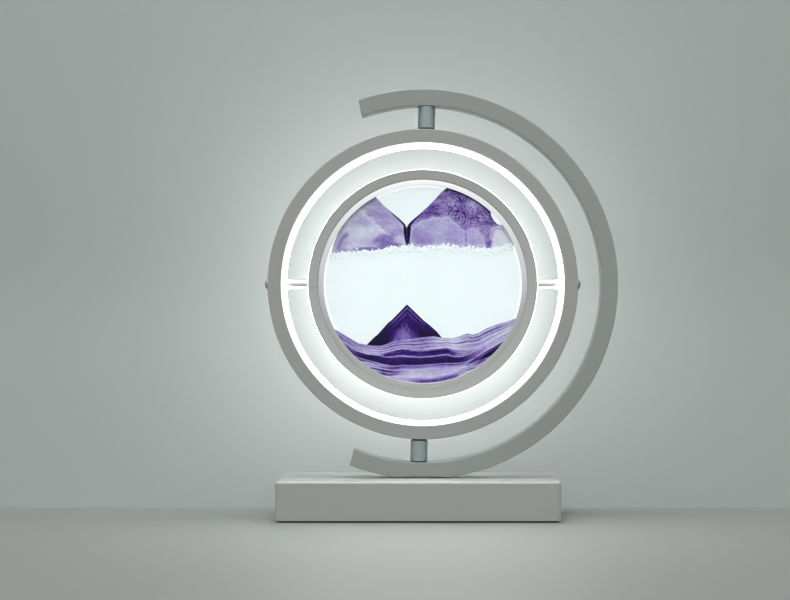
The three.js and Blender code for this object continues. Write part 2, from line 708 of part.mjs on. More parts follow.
// Moves each corner of an outline outwards by a gap, square to the edges that meet there
function grown(outline, gap) {
  const turning = Math.sign(THREE.ShapeUtils.area(outline));
  return outline.map((corner, i) => {
    const before = outline.at(i - 1);
    const after = outline[(i + 1) % outline.length];
    const into = corner.clone().sub(before).normalize();
    const out = after.clone().sub(corner).normalize();
    const side = new THREE.Vector2(into.y + out.y, -into.x - out.x).normalize().multiplyScalar(turning);
    const lean = side.x * into.y * turning - side.y * into.x * turning;
    return corner.clone().addScaledVector(side, gap / lean);
  });
}

const drawn = (shares) => shares.map(([x, z]) => new THREE.Vector2(x * windowRadius, z * windowRadius));

// A slice of sand or bubbles with a drawn outline, kept inside the cell's round wall
function slice(shares) {
  const half = glassInner - sandSlack;
  const disc = solidOf(cylinder(sandRadius, -half, half, ringSides));
  const plate = upright(new THREE.Shape(drawn(shares)), -cavityDepth, cavityDepth);
  return disc.intersect(solidOf(plate));
}

// The room that such a slice needs, to be cut out of its neighbours
function room(shares) {
  return upright(new THREE.Shape(grown(drawn(shares), fitGap)), -cavityDepth, cavityDepth);
}

// The liquid fills what the sand and the bubbles leave, above and below the bubble line
function liquid(side) {
  const half = glassInner - liquidSlack;
  const whole = solidOf(cylinder(sandRadius, -half, half, ringSides));
  const width = 2 * (sandRadius + overrun);
  const bubbleTop = windowRadius * bubbleShares[0][1];
  const other = block(width, 2 * cavityDepth, width, 0, 0, bubbleTop - side * width / 2);
  const rooms = [upperLeftShares, upperRightShares, bubbleShares, bedShares, peakShares].map(room);
  return cut(whole, other, ...rooms);
}

// Puts a solid into a group as a named piece
function put(group, name, solid, material) {
  const mesh = new THREE.Mesh(geometryOf(solid), material);
  mesh.name = name;
  group.add(mesh);
  return mesh;
}

const lamp = new THREE.Group();

// The arm's frame leans, and the lamp ring in it hangs level
const foot = new THREE.Group();
foot.position.set(0, 0, baseHeight);
foot.rotation.y = armLean;
const armFrame = new THREE.Group();
armFrame.position.set(0, 0, armCentreHeight);
const ringFrame = new THREE.Group();
ringFrame.rotation.y = -armLean;
lamp.add(foot);
foot.add(armFrame);
armFrame.add(ringFrame);

put(lamp, 'base_pad', basePad(), blackRubber);
put(lamp, 'base_plate', basePlate(), plainSteel);
put(lamp, 'base_shell', baseShell(), greyPaint);
put(lamp, 'ballast_block', ballast(), plainSteel);
bossPlaces.forEach(([x, y], i) => {
  const screw = countersunkScrew(coverScrewHeadRadius, coverScrewRadius, coverScrewLength);
  const mesh = put(lamp, `cover_screw_${i + 1}`, screw, zincSteel);
  mesh.rotation.x = Math.PI;
  mesh.position.set(x, y, padThickness + slipGap);
});
put(lamp, 'control_board', controlBoard(), circuitGreen);
put(lamp, 'power_inlet', powerInlet(), zincSteel).position.set(inletX, 0, inletCentreZ);
put(lamp, 'switch_body', switchBody(), blackPlastic).position.set(buttonX, 0, buttonZ);
put(lamp, 'power_button', powerButton(), whitePlastic).position.set(buttonX, 0, buttonZ);
put(lamp, 'power_lead', powerLead(), whitePlastic);

put(armFrame, 'arc_arm', arcArm(), greyPaint);
put(armFrame, 'arm_screw_left', armScrew(), zincSteel).position.x = -armScrewOffset;
put(armFrame, 'arm_screw_right', armScrew(), zincSteel).position.x = armScrewOffset;
put(armFrame, 'threaded_tube', washer(tubeRadius, tubeBoreRadius, tubeBottom, tubeTop), zincSteel);
const tubeWasherFoot = tubeWasherTop - tubeWasherThickness;
const looseBore = tubeRadius + fitGap;
put(armFrame, 'tube_washer', washer(tubeWasherRadius, looseBore, tubeWasherFoot, tubeWasherTop), zincSteel);
put(armFrame, 'tube_nut', tubeNut(), zincSteel);
const footWasherTop = footWasherThickness - postSeat;
put(armFrame, 'foot_washer', washer(footWasherRadius, looseBore, -postSeat, footWasherTop), blackNylon);
const lowerPostTop = -(thrustWasherTop + slipGap);
put(armFrame, 'lower_post', post(looseBore, footWasherTop + slipGap, lowerPostTop), satinSteel);
const lowerThrust = washer(thrustWasherRadius, looseBore, -thrustWasherTop, -thrustWasherFoot);
put(armFrame, 'lower_thrust_washer', lowerThrust, blackNylon);
put(armFrame, 'pivot_nut', pivotNut(), zincSteel);
const screwBore = pivotScrewRadius + runningGap;
const upperThrust = washer(thrustWasherRadius, screwBore, thrustWasherFoot, thrustWasherTop);
put(armFrame, 'upper_thrust_washer', upperThrust, blackNylon);
put(armFrame, 'upper_post', post(screwBore, thrustWasherTop + slipGap, postSeat), satinSteel);
put(armFrame, 'upper_pivot_screw', upperPivotScrew(), zincSteel);
const postScrew = countersunkScrew(postScrewHeadRadius, postScrewRadius, postScrewLength);
put(armFrame, 'upper_post_screw', postScrew, zincSteel).position.z = armOuterRadius - postScrewHeadSink;

put(ringFrame, 'lamp_ring', lampRing(), greyPaint);
put(ringFrame, 'diffuser', diffuser(), diffuserWhite);
for (let place = 0; place < stripCount; place += 1) {
  put(ringFrame, `led_strip_${place + 1}`, ledStrip(place), stripWhite);
}
for (const [side, turn] of [['left', Math.PI], ['right', 0]]) {
  put(ringFrame, `axle_rod_${side}`, axleRod(), polishedSteel).rotation.z = turn;
  put(ringFrame, `axle_screw_${side}`, axleScrew(), zincSteel).rotation.z = turn;
  put(ringFrame, `axle_bush_${side}`, axleBush(), whitePlastic).rotation.z = turn;
}

put(ringFrame, 'cell_frame', cellFrame(), greyPaint);
put(ringFrame, 'front_rim', solidOf(rearRim().rotateX(Math.PI)), whitePlastic);
put(ringFrame, 'rear_rim', solidOf(rearRim()), whitePlastic);
put(ringFrame, 'front_glass', pane(-glassOuter, -glassInner), clearGlass);
put(ringFrame, 'rear_glass', pane(glassInner, glassOuter), clearGlass);
put(ringFrame, 'cell_spacer', spacer(), whitePlastic);
put(ringFrame, 'fill_plug', fillPlug(), whitePlastic);
put(ringFrame, 'sand_upper_left', cut(slice(upperLeftShares), room(upperRightShares)), lavenderSand);
put(ringFrame, 'sand_upper_right', slice(upperRightShares), violetSand);
put(ringFrame, 'sand_peak', slice(peakShares), darkSand);
put(ringFrame, 'sand_bed', cut(slice(bedShares), room(peakShares)), violetSand);
const bubbles = cut(slice(bubbleShares), room(upperLeftShares), room(upperRightShares));
put(ringFrame, 'bubble_line', bubbles, bubbleWhite);
put(ringFrame, 'liquid_above', liquid(1), clearLiquid);
put(ringFrame, 'liquid_below', liquid(-1), clearLiquid);

export default lamp;
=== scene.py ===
import math

import bmesh
import bpy
import numpy as np
from mathutils import Matrix, Vector


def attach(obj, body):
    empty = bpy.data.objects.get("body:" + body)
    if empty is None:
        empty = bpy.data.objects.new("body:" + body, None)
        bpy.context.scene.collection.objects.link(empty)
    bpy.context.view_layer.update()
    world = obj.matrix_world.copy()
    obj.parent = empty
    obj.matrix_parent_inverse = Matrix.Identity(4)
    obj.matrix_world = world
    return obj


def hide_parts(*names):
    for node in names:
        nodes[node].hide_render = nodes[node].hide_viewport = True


# A desk lamp: a sand picture turns in a lit ring, and the ring turns in a C-shaped arm on a base.
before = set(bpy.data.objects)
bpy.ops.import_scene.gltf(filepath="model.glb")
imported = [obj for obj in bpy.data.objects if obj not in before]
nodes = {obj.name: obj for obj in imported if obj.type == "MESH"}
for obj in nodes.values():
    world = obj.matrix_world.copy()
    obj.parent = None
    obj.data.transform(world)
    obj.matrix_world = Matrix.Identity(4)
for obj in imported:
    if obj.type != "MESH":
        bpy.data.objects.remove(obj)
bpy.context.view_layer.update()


# Non-slip pad
# A sheet of black foam rubber, one millimetre thick, cut a little smaller than the base and glued
# under its bottom plate, so that a thin dark line shows at the lamp's foot.
def paint(code):
    """A colour as the paint maker's six-figure code, turned into the light that a shader works with."""
    parts = [int(code[i:i + 2], 16) / 255 for i in (1, 3, 5)]
    return tuple(p / 12.92 if p < 0.04045 else ((p + 0.055) / 1.055) ** 2.4 for p in parts) + (1,)


def fill(node, *sockets):
    """Fills a shader node's sockets, each with a value or with another node's output."""
    for socket, source in sockets:
        if isinstance(source, bpy.types.NodeSocket):
            node.id_data.links.new(source, node.inputs[socket])
        else:
            node.inputs[socket].default_value = source


def put(tree, kind, *sockets, **settings):
    """Adds a shader node with its settings to a tree, and fills its sockets."""
    made = tree.nodes.new("ShaderNode" + kind)
    for name, value in settings.items():
        setattr(made, name, value)
    fill(made, *sockets)
    return made


def join(kind, *sockets, give=0, **settings):
    """Joins outputs of other nodes in a new node, and returns the output that is given."""
    tree = next(source.id_data for _, source in sockets if isinstance(source, bpy.types.NodeSocket))
    return put(tree, kind, *sockets, **settings).outputs[give]


def maths(operation, a, b, clamp=False):
    return join("Math", (0, a), (1, b), operation=operation, use_clamp=clamp)


def less(a, b):
    return maths("SUBTRACT", a, b)


def times(a, b):
    return maths("MULTIPLY", a, b)


def plus(a, b, share=1):
    """A value with a share of another added to it."""
    return maths("ADD", a, b if share == 1 else times(b, share))


def spread(value, low, high, out_low=0.0, out_high=1.0):
    """A value's place between two others, as a number from out_low to out_high."""
    sockets = (0, value), (1, low), (2, high), (3, out_low), (4, out_high)
    return join("MapRange", *sockets, interpolation_type="SMOOTHSTEP")


def own_place(tree):
    """Where a point lies on its own piece, so that patterns stay with the piece when it moves."""
    return put(tree, "TexCoord").outputs["Object"]


def noise(where, scale, detail=2.0, roughness=0.5):
    sockets = ("Vector", where), ("Scale", scale), ("Detail", detail), ("Roughness", roughness)
    return join("TexNoise", *sockets)


def bumped(strength, depth, height):
    return join("Bump", ("Strength", strength), ("Distance", depth), ("Height", height))


def shader_group(name, colours, values):
    """A node group that takes colours and values under their names and gives a surface's pattern."""
    tree = bpy.data.node_groups.new(name, "ShaderNodeTree")
    for kind, labels in (("Color", colours), ("Float", values)):
        for label in labels:
            tree.interface.new_socket(label, in_out="INPUT", socket_type="NodeSocket" + kind)
    for label, kind in (("Colour", "Color"), ("Roughness", "Float"), ("Height", "Float")):
        tree.interface.new_socket(label, in_out="OUTPUT", socket_type="NodeSocket" + kind)
    return tree, tree.nodes.new("NodeGroupInput").outputs, tree.nodes.new("NodeGroupOutput")


# A made surface has fine grain, slow unevenness and a lighter rub along its edges
aged_skin, given, out = shader_group(
    "aged skin", ("Colour", "Edge Colour"),
    ("Grain", "Unevenness", "Edge Wear", "Roughness", "Roughness Change"),
)
place = own_place(aged_skin)
grain, cloud = noise(place, given["Grain"], 3), noise(place, 38, 4, 0.6)
true_side = put(aged_skin, "NewGeometry").outputs["Normal"]
round_side = put(aged_skin, "Bevel", ("Radius", 0.0005), samples=4).outputs[0]
flatness = join("VectorMath", (0, true_side), (1, round_side), operation="DOT_PRODUCT", give="Value")
edge = spread(flatness, 0.995, 0.93)
worn = times(edge, spread(cloud, 0.35, 0.65, 0.4, 1.0))
worn = maths("MULTIPLY", worn, given["Edge Wear"], clamp=True)
tone = less(plus(cloud, grain, 0.5), 0.75)
tone = plus(times(tone, given["Unevenness"]), 1.0)
toned = join("VectorMath", (0, given["Colour"]), (3, tone), operation="SCALE")
rubbed = join("Mix", (0, worn), (6, toned), (7, given["Edge Colour"]), data_type="RGBA", give=2)
change = times(less(grain, 0.5), given["Roughness Change"])
fill(out, ("Colour", rubbed), ("Height", grain),
     ("Roughness", maths("ADD", given["Roughness"], change, clamp=True)))


def new_finish(name):
    """A new material, with its node tree and its main shader."""
    made = bpy.data.materials.new(name)
    made.use_nodes = True
    return made, made.node_tree, made.node_tree.nodes["Principled BSDF"]


def skin_of(tree, colour, edge_colour, grain, roughness, wear, uneven, change):
    """The outputs of an aged skin."""
    return put(
        tree, "Group", ("Colour", paint(colour)), ("Edge Colour", paint(edge_colour)), ("Grain", grain),
        ("Unevenness", uneven), ("Edge Wear", wear), ("Roughness", roughness),
        ("Roughness Change", change), node_tree=aged_skin,
    ).outputs


def solid_finish(name, colour, edge_colour, grain, roughness, wear=0.3, uneven=0.05, change=0.1,
                 bump=0.2, depth=0.00005, **shine):
    """A made surface with grain and rubbed edges; shine goes to the shader's own sockets."""
    made, tree, shader = new_finish(name)
    skin = skin_of(tree, colour, edge_colour, grain, roughness, wear, uneven, change)
    fill(shader, ("Base Color", skin["Colour"]), ("Roughness", skin["Roughness"]),
         ("Normal", bumped(bump, depth, skin["Height"])),
         *[(socket.replace("_", " "), value) for socket, value in shine.items()])
    return made


def dress(finish, *names):
    """Gives pieces of the frame their finish."""
    for name in names:
        nodes[name].data.materials.clear()
        nodes[name].data.materials.append(finish)


foam_rubber = solid_finish("foam rubber", "#1c1d1e", "#2c2d2e", 2600, 0.92, wear=0.2, uneven=0.5,
                           bump=0.7, depth=0.0002)
dress(foam_rubber, "base_pad")


# Bottom plate, ballast and cover screws
# The plate is two millimetres of steel that closes the base from below, held by four zinc-plated
# countersunk screws. On it lies a steel bar that keeps the lamp from tipping.
rolled_steel = solid_finish("rolled steel", "#6e7275", "#9a9ea0", 900, 0.5, wear=0.5, uneven=0.25,
                            change=0.3, Metallic=0.9)
zinc_plate = solid_finish("zinc plate", "#a9adb0", "#c8cccd", 2200, 0.34, wear=0.4, uneven=0.12,
                          change=0.25, Metallic=1.0)
dress(rolled_steel, "base_plate", "ballast_block")
dress(zinc_plate, *[f"cover_screw_{i}" for i in (1, 2, 3, 4)])


# Control board, switch and lead
# A small glass-fibre board, green with solder mask, is screwed to four standoffs of the plate. The
# switch on it is black nylon, and the lead from it up to the ring has a white sheath.
solder_mask = solid_finish("solder mask", "#1f6b45", "#c9b458", 1800, 0.42, wear=0.6, uneven=0.3, change=0.2)
switch_nylon = solid_finish("switch nylon", "#2b2d2e", "#454748", 2000, 0.55, uneven=0.15)
lead_sheath = solid_finish("lead sheath", "#dcdddb", "#e8e9e7", 1200, 0.5, uneven=0.1)
dress(solder_mask, "control_board")
dress(switch_nylon, "switch_body")
dress(lead_sheath, "power_lead")


# Power inlet
# A drawn steel sleeve with round ends, nine millimetres wide, that takes the plug of a low-voltage
# lead. A thin black tongue stands in its middle. Both are soldered to the board's rear edge.
MM = 0.001


def softened(corners, closed=True, steps=5, hold=0.25):
    """Rounds an outline's corners, each given as x, y and radius, with a firm point on both sides."""
    made = []
    for i, (x, y, *radius) in enumerate(corners):
        if not radius or not radius[0] or (not closed and i in (0, len(corners) - 1)):
            made.append((x, y))
            continue
        corner = Vector((x, y))
        before = Vector(corners[i - 1][:2]) - corner
        after = Vector(corners[(i + 1) % len(corners)][:2]) - corner
        a, b = before.normalized(), after.normalized()
        half = a.angle(b) / 2
        reach = radius[0] / math.tan(half)
        middle = corner + (a + b).normalized() * (radius[0] / math.sin(half))
        first, last = corner + a * reach - middle, corner + b * reach - middle
        total = first.angle(last)
        if before.length > 3 * (reach + hold):
            made.append(tuple(corner + a * (reach + hold)))
        for k in range(steps + 1):
            t = k / steps
            arm = first * math.sin((1 - t) * total) + last * math.sin(t * total)
            made.append(tuple(middle + arm / math.sin(total)))
        if after.length > 3 * (reach + hold):
            made.append(tuple(corner + b * (reach + hold)))
    return made


def loft(rings, caps=True):
    """Points and faces of a skin over a row of closed outlines. Without caps it closes on itself."""
    count = len(rings[0])
    faces = []
    for i in range(len(rings) - 1 if caps else len(rings)):
        a, b = i * count, (i + 1) % len(rings) * count
        faces += [(a + k, a + (k + 1) % count, b + (k + 1) % count, b + k) for k in range(count)]
    if caps:
        last = (len(rings) - 1) * count
        faces += [tuple(reversed(range(count))), tuple(range(last, last + count))]
    return [point for ring in rings for point in ring], faces


def mesh_of(name, shape):
    """A mesh in metres from points in millimetres and faces, with its faces turned outwards."""
    points, faces = shape
    mesh = bpy.data.meshes.new(name)
    mesh.from_pydata([Vector(p) * MM for p in points], [], faces)
    build = bmesh.new()
    build.from_mesh(mesh)
    bmesh.ops.recalc_face_normals(build, faces=build.faces)
    build.to_mesh(mesh)
    build.free()
    return mesh


def new_object(name, data):
    made = bpy.data.objects.new(name, data)
    bpy.context.scene.collection.objects.link(made)
    return made


def cut(piece, *shapes):
    """Cuts shapes out of a piece, as a drill or a mill would."""
    for shape in shapes:
        tool = new_object("tool", mesh_of("tool", shape))
        step = piece.modifiers.new("cut", "BOOLEAN")
        step.object, step.operation, step.solver = tool, "DIFFERENCE", "EXACT"
        ready = piece.evaluated_get(bpy.context.evaluated_depsgraph_get())
        mesh = bpy.data.meshes.new_from_object(ready)
        piece.modifiers.clear()
        piece.data = mesh
        bpy.data.objects.remove(tool)


CRISP_EDGE = math.radians(34)  # faces that meet at more than this keep a crisp edge


def make(name, shape, finish, body, slot, *stands_for, holes=()):
    """A finished piece: its mesh with holes cut, smooth faces with crisp edges, finish and body."""
    piece = new_object(name, mesh_of(name, shape))
    cut(piece, *holes)
    piece.data.name = name
    piece.data.materials.clear()
    piece.data.materials.append(finish)
    piece.data.shade_smooth()
    piece.data.set_sharp_from_angle(angle=CRISP_EDGE)
    piece.modifiers.new("even shading", "WEIGHTED_NORMAL").keep_sharp = True
    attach(piece, body)
    if stands_for:
        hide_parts(*stands_for)
    return piece


def prism(outline, heights, place=Matrix()):
    """A loft of one outline through several heights, set in place by a matrix."""
    return loft([[place @ Vector((x, y, z)) for x, y in outline] for z in heights])


def rectangle(x, y, radius, **corners):
    """A rounded rectangle that reaches x and y to each side of its middle."""
    return softened([(x, -y, radius), (x, y, radius), (-x, y, radius), (-x, -y, radius)], **corners)


def at_inlet(width, height, radius, heights):
    return prism(rectangle(width / 2, height / 2, radius, steps=8), heights, inlet_place)


FACING_BACK = Matrix.Rotation(-math.pi / 2, 4, "X")  # turns a piece's own height towards the back
inlet_place = Matrix.Translation((57, 0, 11.75)) @ FACING_BACK
inlet_hole = at_inlet(9.6, 3.9, 1.9, (31, 38))
make("inlet_sleeve", at_inlet(9, 3.3, 1.6, (27.4, 27.6, 34.6, 34.8)), zinc_plate, "base", "zinc_steel",
     "power_inlet", holes=[at_inlet(8.2, 2.5, 1.2, (28.6, 36))])
make("inlet_tongue", at_inlet(6.4, 0.7, 0.2, (28, 28.4, 33.8, 34)),
     solid_finish("tongue nylon", "#1e1f20", "#303132", 2400, 0.5), "base", "black_plastic")


# Push button
# A turned white cap in the back wall. A flange behind the wall keeps it in, and its stem works the
# switch. Its outer edge is broken and its face is slightly dished for the fingertip.
def turned(outline, place=Matrix(), sides=192, caps=False):
    """A shape turned about its own height from radius and height points, set in place by a matrix.
    With caps it is solid, and without them the outline closes on itself as a ring."""
    turns = [2 * math.pi * k / sides for k in range(sides)]
    rings = [[place @ Vector((r * math.cos(t), r * math.sin(t), h)) for t in turns] for r, h in outline]
    return loft(rings, caps)


def at_button(outline):
    return turned(outline, Matrix.Translation((34, 0, 12.9)) @ FACING_BACK, 64, caps=True)


cap_outline = softened(
    [(1.5, 27.3), (1.5, 31.9, 0.2), (5.2, 31.9, 0.2), (5.2, 33.1, 0.2), (4.2, 33.1, 0.1), (4.2, 36.6, 0.6),
     (3.0, 36.55, 0.3), (1.6, 36.3, 0.4), (0.4, 36.2)], closed=False,
)
white_cap = solid_finish("white cap", "#e4e5e2", "#f2f2f0", 1700, 0.34, wear=0.2, uneven=0.04)
make("button_cap", at_button(cap_outline), white_cap, "button", "white_plastic", "power_button")


# Base cover
# One folded and welded sheet-steel box, open below, with softly broken edges. It is powder coated
# in a pale warm grey, and its back wall has the openings for the inlet and for the button.
def powder_coat(name, colour, edge_colour, roughness, wear=0.35, bump=0.14, **shine):
    return solid_finish(name, colour, edge_colour, 1300, roughness, wear=wear, uneven=0.07, change=0.16,
                        bump=bump, depth=0.00004, **shine)


def box_outline(width, depth, corner, inset):
    return rectangle(width / 2 - inset, depth / 2 - inset, max(corner - inset, 0.4), steps=7, hold=0.6)


COVER_EDGE, COVER_TOP = 0.8, 25
cover_rings = [(1.0, 0.25), (1.25, 0.0), (2.0, 0.0), (23.5, 0.0)]
for a in np.radians([0, 15, 30, 45, 60, 75, 90]):
    cover_rings.append((COVER_TOP - COVER_EDGE * (1 - math.sin(a)), COVER_EDGE * (1 - math.cos(a))))
cover_rings += [(COVER_TOP, 1.6), (COVER_TOP, 6)]
make(
    "base_cover",
    loft([[(x, y, z) for x, y in box_outline(178, 70, 2.5, inset)] for z, inset in cover_rings]),
    powder_coat("powder paint", "#949693", "#b7b9b6", 0.46, bump=0.16, Specular_IOR_Level=0.45),
    "base", "grey_paint", "base_shell",
    holes=[prism(box_outline(174.8, 66.8, 0.9, 0), (-1, 23)), inlet_hole, at_button([(4.5, 31), (4.5, 38)])],
)


# C-shaped arm
# A flat bar of aluminium rolled on edge to an arc, its edges lightly broken, and coated like the
# base but a darker grey, as painted shade. It leans a little to the right, and its foot is milled flat and
# hollowed in its middle.
CENTRE_X, CENTRE_Z = 2.82, 149.25  # the middle of the arm, of the ring and of the picture
CENTRE = Matrix.Translation((CENTRE_X, 0, CENTRE_Z))
POSTS = CENTRE @ Matrix.Rotation(math.radians(1.3), 4, "Y")  # the leaning axis of both posts
BAR_INNER, BAR_OUTER, BAR_SIDE, BAR_EDGE, BAR_END = 114.3, 125, 5.75, 0.6, 110
FOOT, HOLLOW, HOLLOW_REACH = 25.3, 26.2, 13.5


def bar_ring(angle, inset, outer_past=0.0, inner_past=0.0):
    """The bar's section at one angle of the arc, made smaller all round by an inset. At the bar's ends
    its outer and inner edges run past that angle, because the bar is sawn a little off square."""
    low, high, side = BAR_INNER + inset, BAR_OUTER - inset, BAR_SIDE - inset
    corners = (low, -side), (high, -side), (high, side), (low, side)
    made = []
    for r, y in softened([(*corner, max(BAR_EDGE - inset, 0.05)) for corner in corners], hold=0):
        share = (r - BAR_INNER) / (BAR_OUTER - BAR_INNER)
        turn = math.radians(angle + inner_past + (outer_past - inner_past) * share)
        made.append(POSTS @ Vector((r * math.cos(turn), y, r * math.sin(turn))))
    return made


BAR_MIDDLE = 120  # about the radius of its middle line, for the rounding of its ends
bar_end = [
    (BAR_END - math.degrees(BAR_EDGE * (1 - math.cos(a)) / BAR_MIDDLE), BAR_EDGE * (1 - math.sin(a)))
    for a in np.radians([0, 22.5, 45, 67.5, 90])
]
bar_rings = [bar_ring(-angle, inset, -0.8, -1.5) for angle, inset in bar_end]
bar_rings += [bar_ring(angle, 0) for angle in np.linspace(1 - BAR_END, BAR_END - 1, 257)]
bar_rings += [bar_ring(angle, inset, 0.55, 1.3) for angle, inset in reversed(bar_end)]
for point in [point for ring in bar_rings for point in ring]:
    point.z = max(point.z, HOLLOW if abs(point.x - CENTRE_X) < HOLLOW_REACH else FOOT)
screw_seat = turned([(2.3, 112), (2.3, 122.9), (4.1, 124.7), (4.1, 128)], POSTS, 48, caps=True)
# painted shade: a darker grey than the base's coat
arm_coat_painted_darker = powder_coat("powder paint on alloy", "#868a87", "#b2b5b2", 0.44, wear=0.4, bump=0.16,
                          Specular_IOR_Level=0.45)
make("arm_bar", loft(bar_rings), arm_coat_painted_darker, "base", "grey_paint_on_alloy", "arc_arm", holes=[screw_seat])
dress(zinc_plate, "arm_screw_left", "arm_screw_right")
top_screw = softened([(2, 106.7), (2, 122.9), (3.75, 124.62, 0.12), (3.3, 124.7)], closed=False)
hex_drive = turned([(1.25, 123.4), (1.25, 126)], POSTS, 6, caps=True)
make("arm_top_screw", turned(top_screw, POSTS, 64, caps=True), zinc_plate, "base", "zinc_steel",
     "upper_post_screw", holes=[hex_drive])


# Pivots
# Two turned steel posts join the arm and the ring, on one leaning axis. The lower one is threaded
# on a hollow tube for the lead. Black nylon washers let the ring turn, and dark gaps show them.
turned_steel, tree, shader = new_finish("turned steel")
lines = join("Mapping", ("Vector", own_place(tree)), ("Scale", (40, 40, 9000)))
tool_marks = noise(lines, 1.0, 3)
skin = skin_of(tree, "#abb6b8", "#c9d0d0", 2500, 0.56, 0.6, 0.1, 0.1)
marked = plus(skin["Roughness"], spread(tool_marks, 0.3, 0.7, -0.08, 0.08))
fill(shader, ("Base Color", skin["Colour"]), ("Roughness", marked), ("Metallic", 1.0),
     ("Normal", bumped(0.05, 0.00002, tool_marks)))
post_top = softened([(2.3, 100.2), (5.5, 100.2, 0.4), (5.5, 114.25, 0.3), (2.3, 114.25)])
post_foot = softened([(3.3, -113.5), (5.5, -113.5, 0.3), (5.5, -100.2, 0.7), (3.3, -100.2)])
make("post_top", turned(post_top, POSTS, 96), turned_steel, "base", "satin_steel", "upper_post")
make("post_foot", turned(post_foot, POSTS, 96), turned_steel, "base", "satin_steel", "lower_post")
dress(solid_finish("black nylon", "#242627", "#343637", 2000, 0.6, uneven=0.2),
      "foot_washer", "lower_thrust_washer", "upper_thrust_washer")
dress(zinc_plate, "threaded_tube", "tube_washer", "tube_nut", "pivot_nut", "upper_pivot_screw")


# Lamp ring
# A rolled aluminium channel, open towards the middle, joined to a full circle with its seam ground
# away, and powder coated. Its front face is flat and its outer edges are broken.
AXIS_BACK = CENTRE @ FACING_BACK  # the picture's axis, with height towards the back
channel = softened([(90.8, -6, 0.2), (99.4, -6, 0.5), (99.4, 6, 0.5), (90.8, 6, 0.2), (90.8, 4.5),
                    (97.8, 4.5), (97.8, -4.5), (90.8, -4.5)])
make("ring_channel", turned(channel, AXIS_BACK, 320),
     powder_coat("powder paint on ring", "#919390", "#b7b9b6", 0.42),
     "lamp_ring", "grey_paint_on_alloy", "lamp_ring")


# Light strips and diffuser
# Four strips of white light chips line the channel's floor. An extruded ring of milky acrylic snaps
# into the channel's mouth in front of them and stands proud of it, so that it glows all round.
def ramp(value, *dots):
    """A value's colour on a scale, given as places from nothing to one with their colours."""
    scale = put(value.id_data, "ValToRGB", (0, value))
    for i, (stop, colour) in enumerate(dots):
        dot = scale.color_ramp.elements[i] if i < 2 else scale.color_ramp.elements.new(stop)
        dot.position, dot.color = stop, colour
    return scale.outputs[0]


def two_tones(value, first, second):
    return ramp(value, (0.0, paint(first)), (1.0, paint(second)))


def side_holes(radius, distance, reach):
    """Round holes level with the picture's middle, at a distance from it on both sides."""
    level = CENTRE @ Matrix.Rotation(math.pi / 2, 4, "Y")
    ends = [(side * distance - reach, side * distance + reach) for side in (-1, 1)]
    return [turned([(radius, start), (radius, end)], level, 48, caps=True) for start, end in ends]


strip_board = solid_finish("strip board", "#f0f0ea", "#ffffff", 1500, 0.5, uneven=0.05)
dress(strip_board, *[f"led_strip_{i}" for i in (1, 2, 3, 4)])
lit_acrylic, tree, shader = new_finish("lit milky acrylic")
place = own_place(tree)
glow = two_tones(noise(place, 60, 3), "#f8f9f6", "#ffffff")
fill(shader, ("Base Color", glow), ("Emission Color", glow), ("Emission Strength", 0.85),
     ("Roughness", spread(noise(place, 1600, 2), 0.3, 0.7, 0.5, 0.66)))
diffuser = softened([(87.8, -4.8, 0.8), (90.5, -4.8, 0.15), (90.5, -4.2), (93.4, -4.2), (93.4, 4.2),
                     (90.5, 4.2), (90.5, 4.8, 0.15), (87.8, 4.8, 0.8)])
make("ring_diffuser", turned(diffuser, AXIS_BACK, 320), lit_acrylic, "lamp_ring", "diffuser_white",
     "diffuser", holes=side_holes(3.1, 90, 6))


# Axle of the picture
# Two polished steel rods run across the gap, one on each side. A domed screw from outside the ring
# holds each, and its inner end turns in a white plastic bush in the picture's frame.
chrome = solid_finish("polished steel", "#e4e7e6", "#f6f7f7", 2600, 0.24, wear=0.1, uneven=0.03,
                      change=0.06, bump=0.04, Metallic=1.0)
bush_plastic = solid_finish("bush plastic", "#e4e5e2", "#efefed", 1500, 0.4, wear=0.1)
rod = softened([(2.5, 67.9), (2.9, 67.9, 0.15), (2.9, 97.4, 0.2), (2.4, 97.4)], closed=False)
screw = [(1.5, 88.4), (1.5, 99.36), (3.35, 99.36)]
screw += [(3.4 * math.cos(a), 99.75 + 1.8 * math.sin(a)) for a in np.radians([0, 12, 24, 36, 48, 60, 70, 79])]
bush = softened([(3.05, 67.6), (4.05, 67.6), (4.05, 73.35, 0.2), (3.05, 73.35, 0.2)])
for side, turn in (("left", -math.pi / 2), ("right", math.pi / 2)):
    outwards = CENTRE @ Matrix.Rotation(turn, 4, "Y")
    make(f"rod_{side}", turned(rod, outwards, 96, caps=True),
         chrome, "lamp_ring", "polished_steel", f"axle_rod_{side}")
    make(f"ring_screw_{side}", turned(screw, outwards, 72, caps=True),
         zinc_plate, "lamp_ring", "zinc_steel", f"axle_screw_{side}",
         holes=[turned([(1.25, 100.6), (1.25, 103)], outwards, 6, caps=True)])
    make(f"bush_{side}", turned(bush, outwards, 72),
         bush_plastic, "sand_cell", "white_plastic", f"axle_bush_{side}")


# Frame of the picture
# A turned aluminium hoop that carries the bushes at its sides, coated like the ring but a lighter grey,
# a painted light for the ring's light that falls on it. A small plug at its lowest point closes the hole
# that the cell is filled through.
hoop = softened([(67.4, -5, 0.15), (73.5, -6, 0.4), (73.5, 6, 0.4), (67.4, 5, 0.15)])
# painted light: a lighter grey than the ring's coat
hoop_coat_painted_lighter = powder_coat("powder paint on hoop", "#a3a5a3", "#c2c3c1", 0.4)
plug_hole = turned([(1.35, -76), (1.35, -65)], CENTRE, 32, caps=True)
make("picture_hoop", turned(hoop, AXIS_BACK, 288), hoop_coat_painted_lighter, "sand_cell", "grey_paint", "cell_frame",
     holes=[*side_holes(4.1, 70, 5), plug_hole])
dress(bush_plastic, "fill_plug", "cell_spacer")


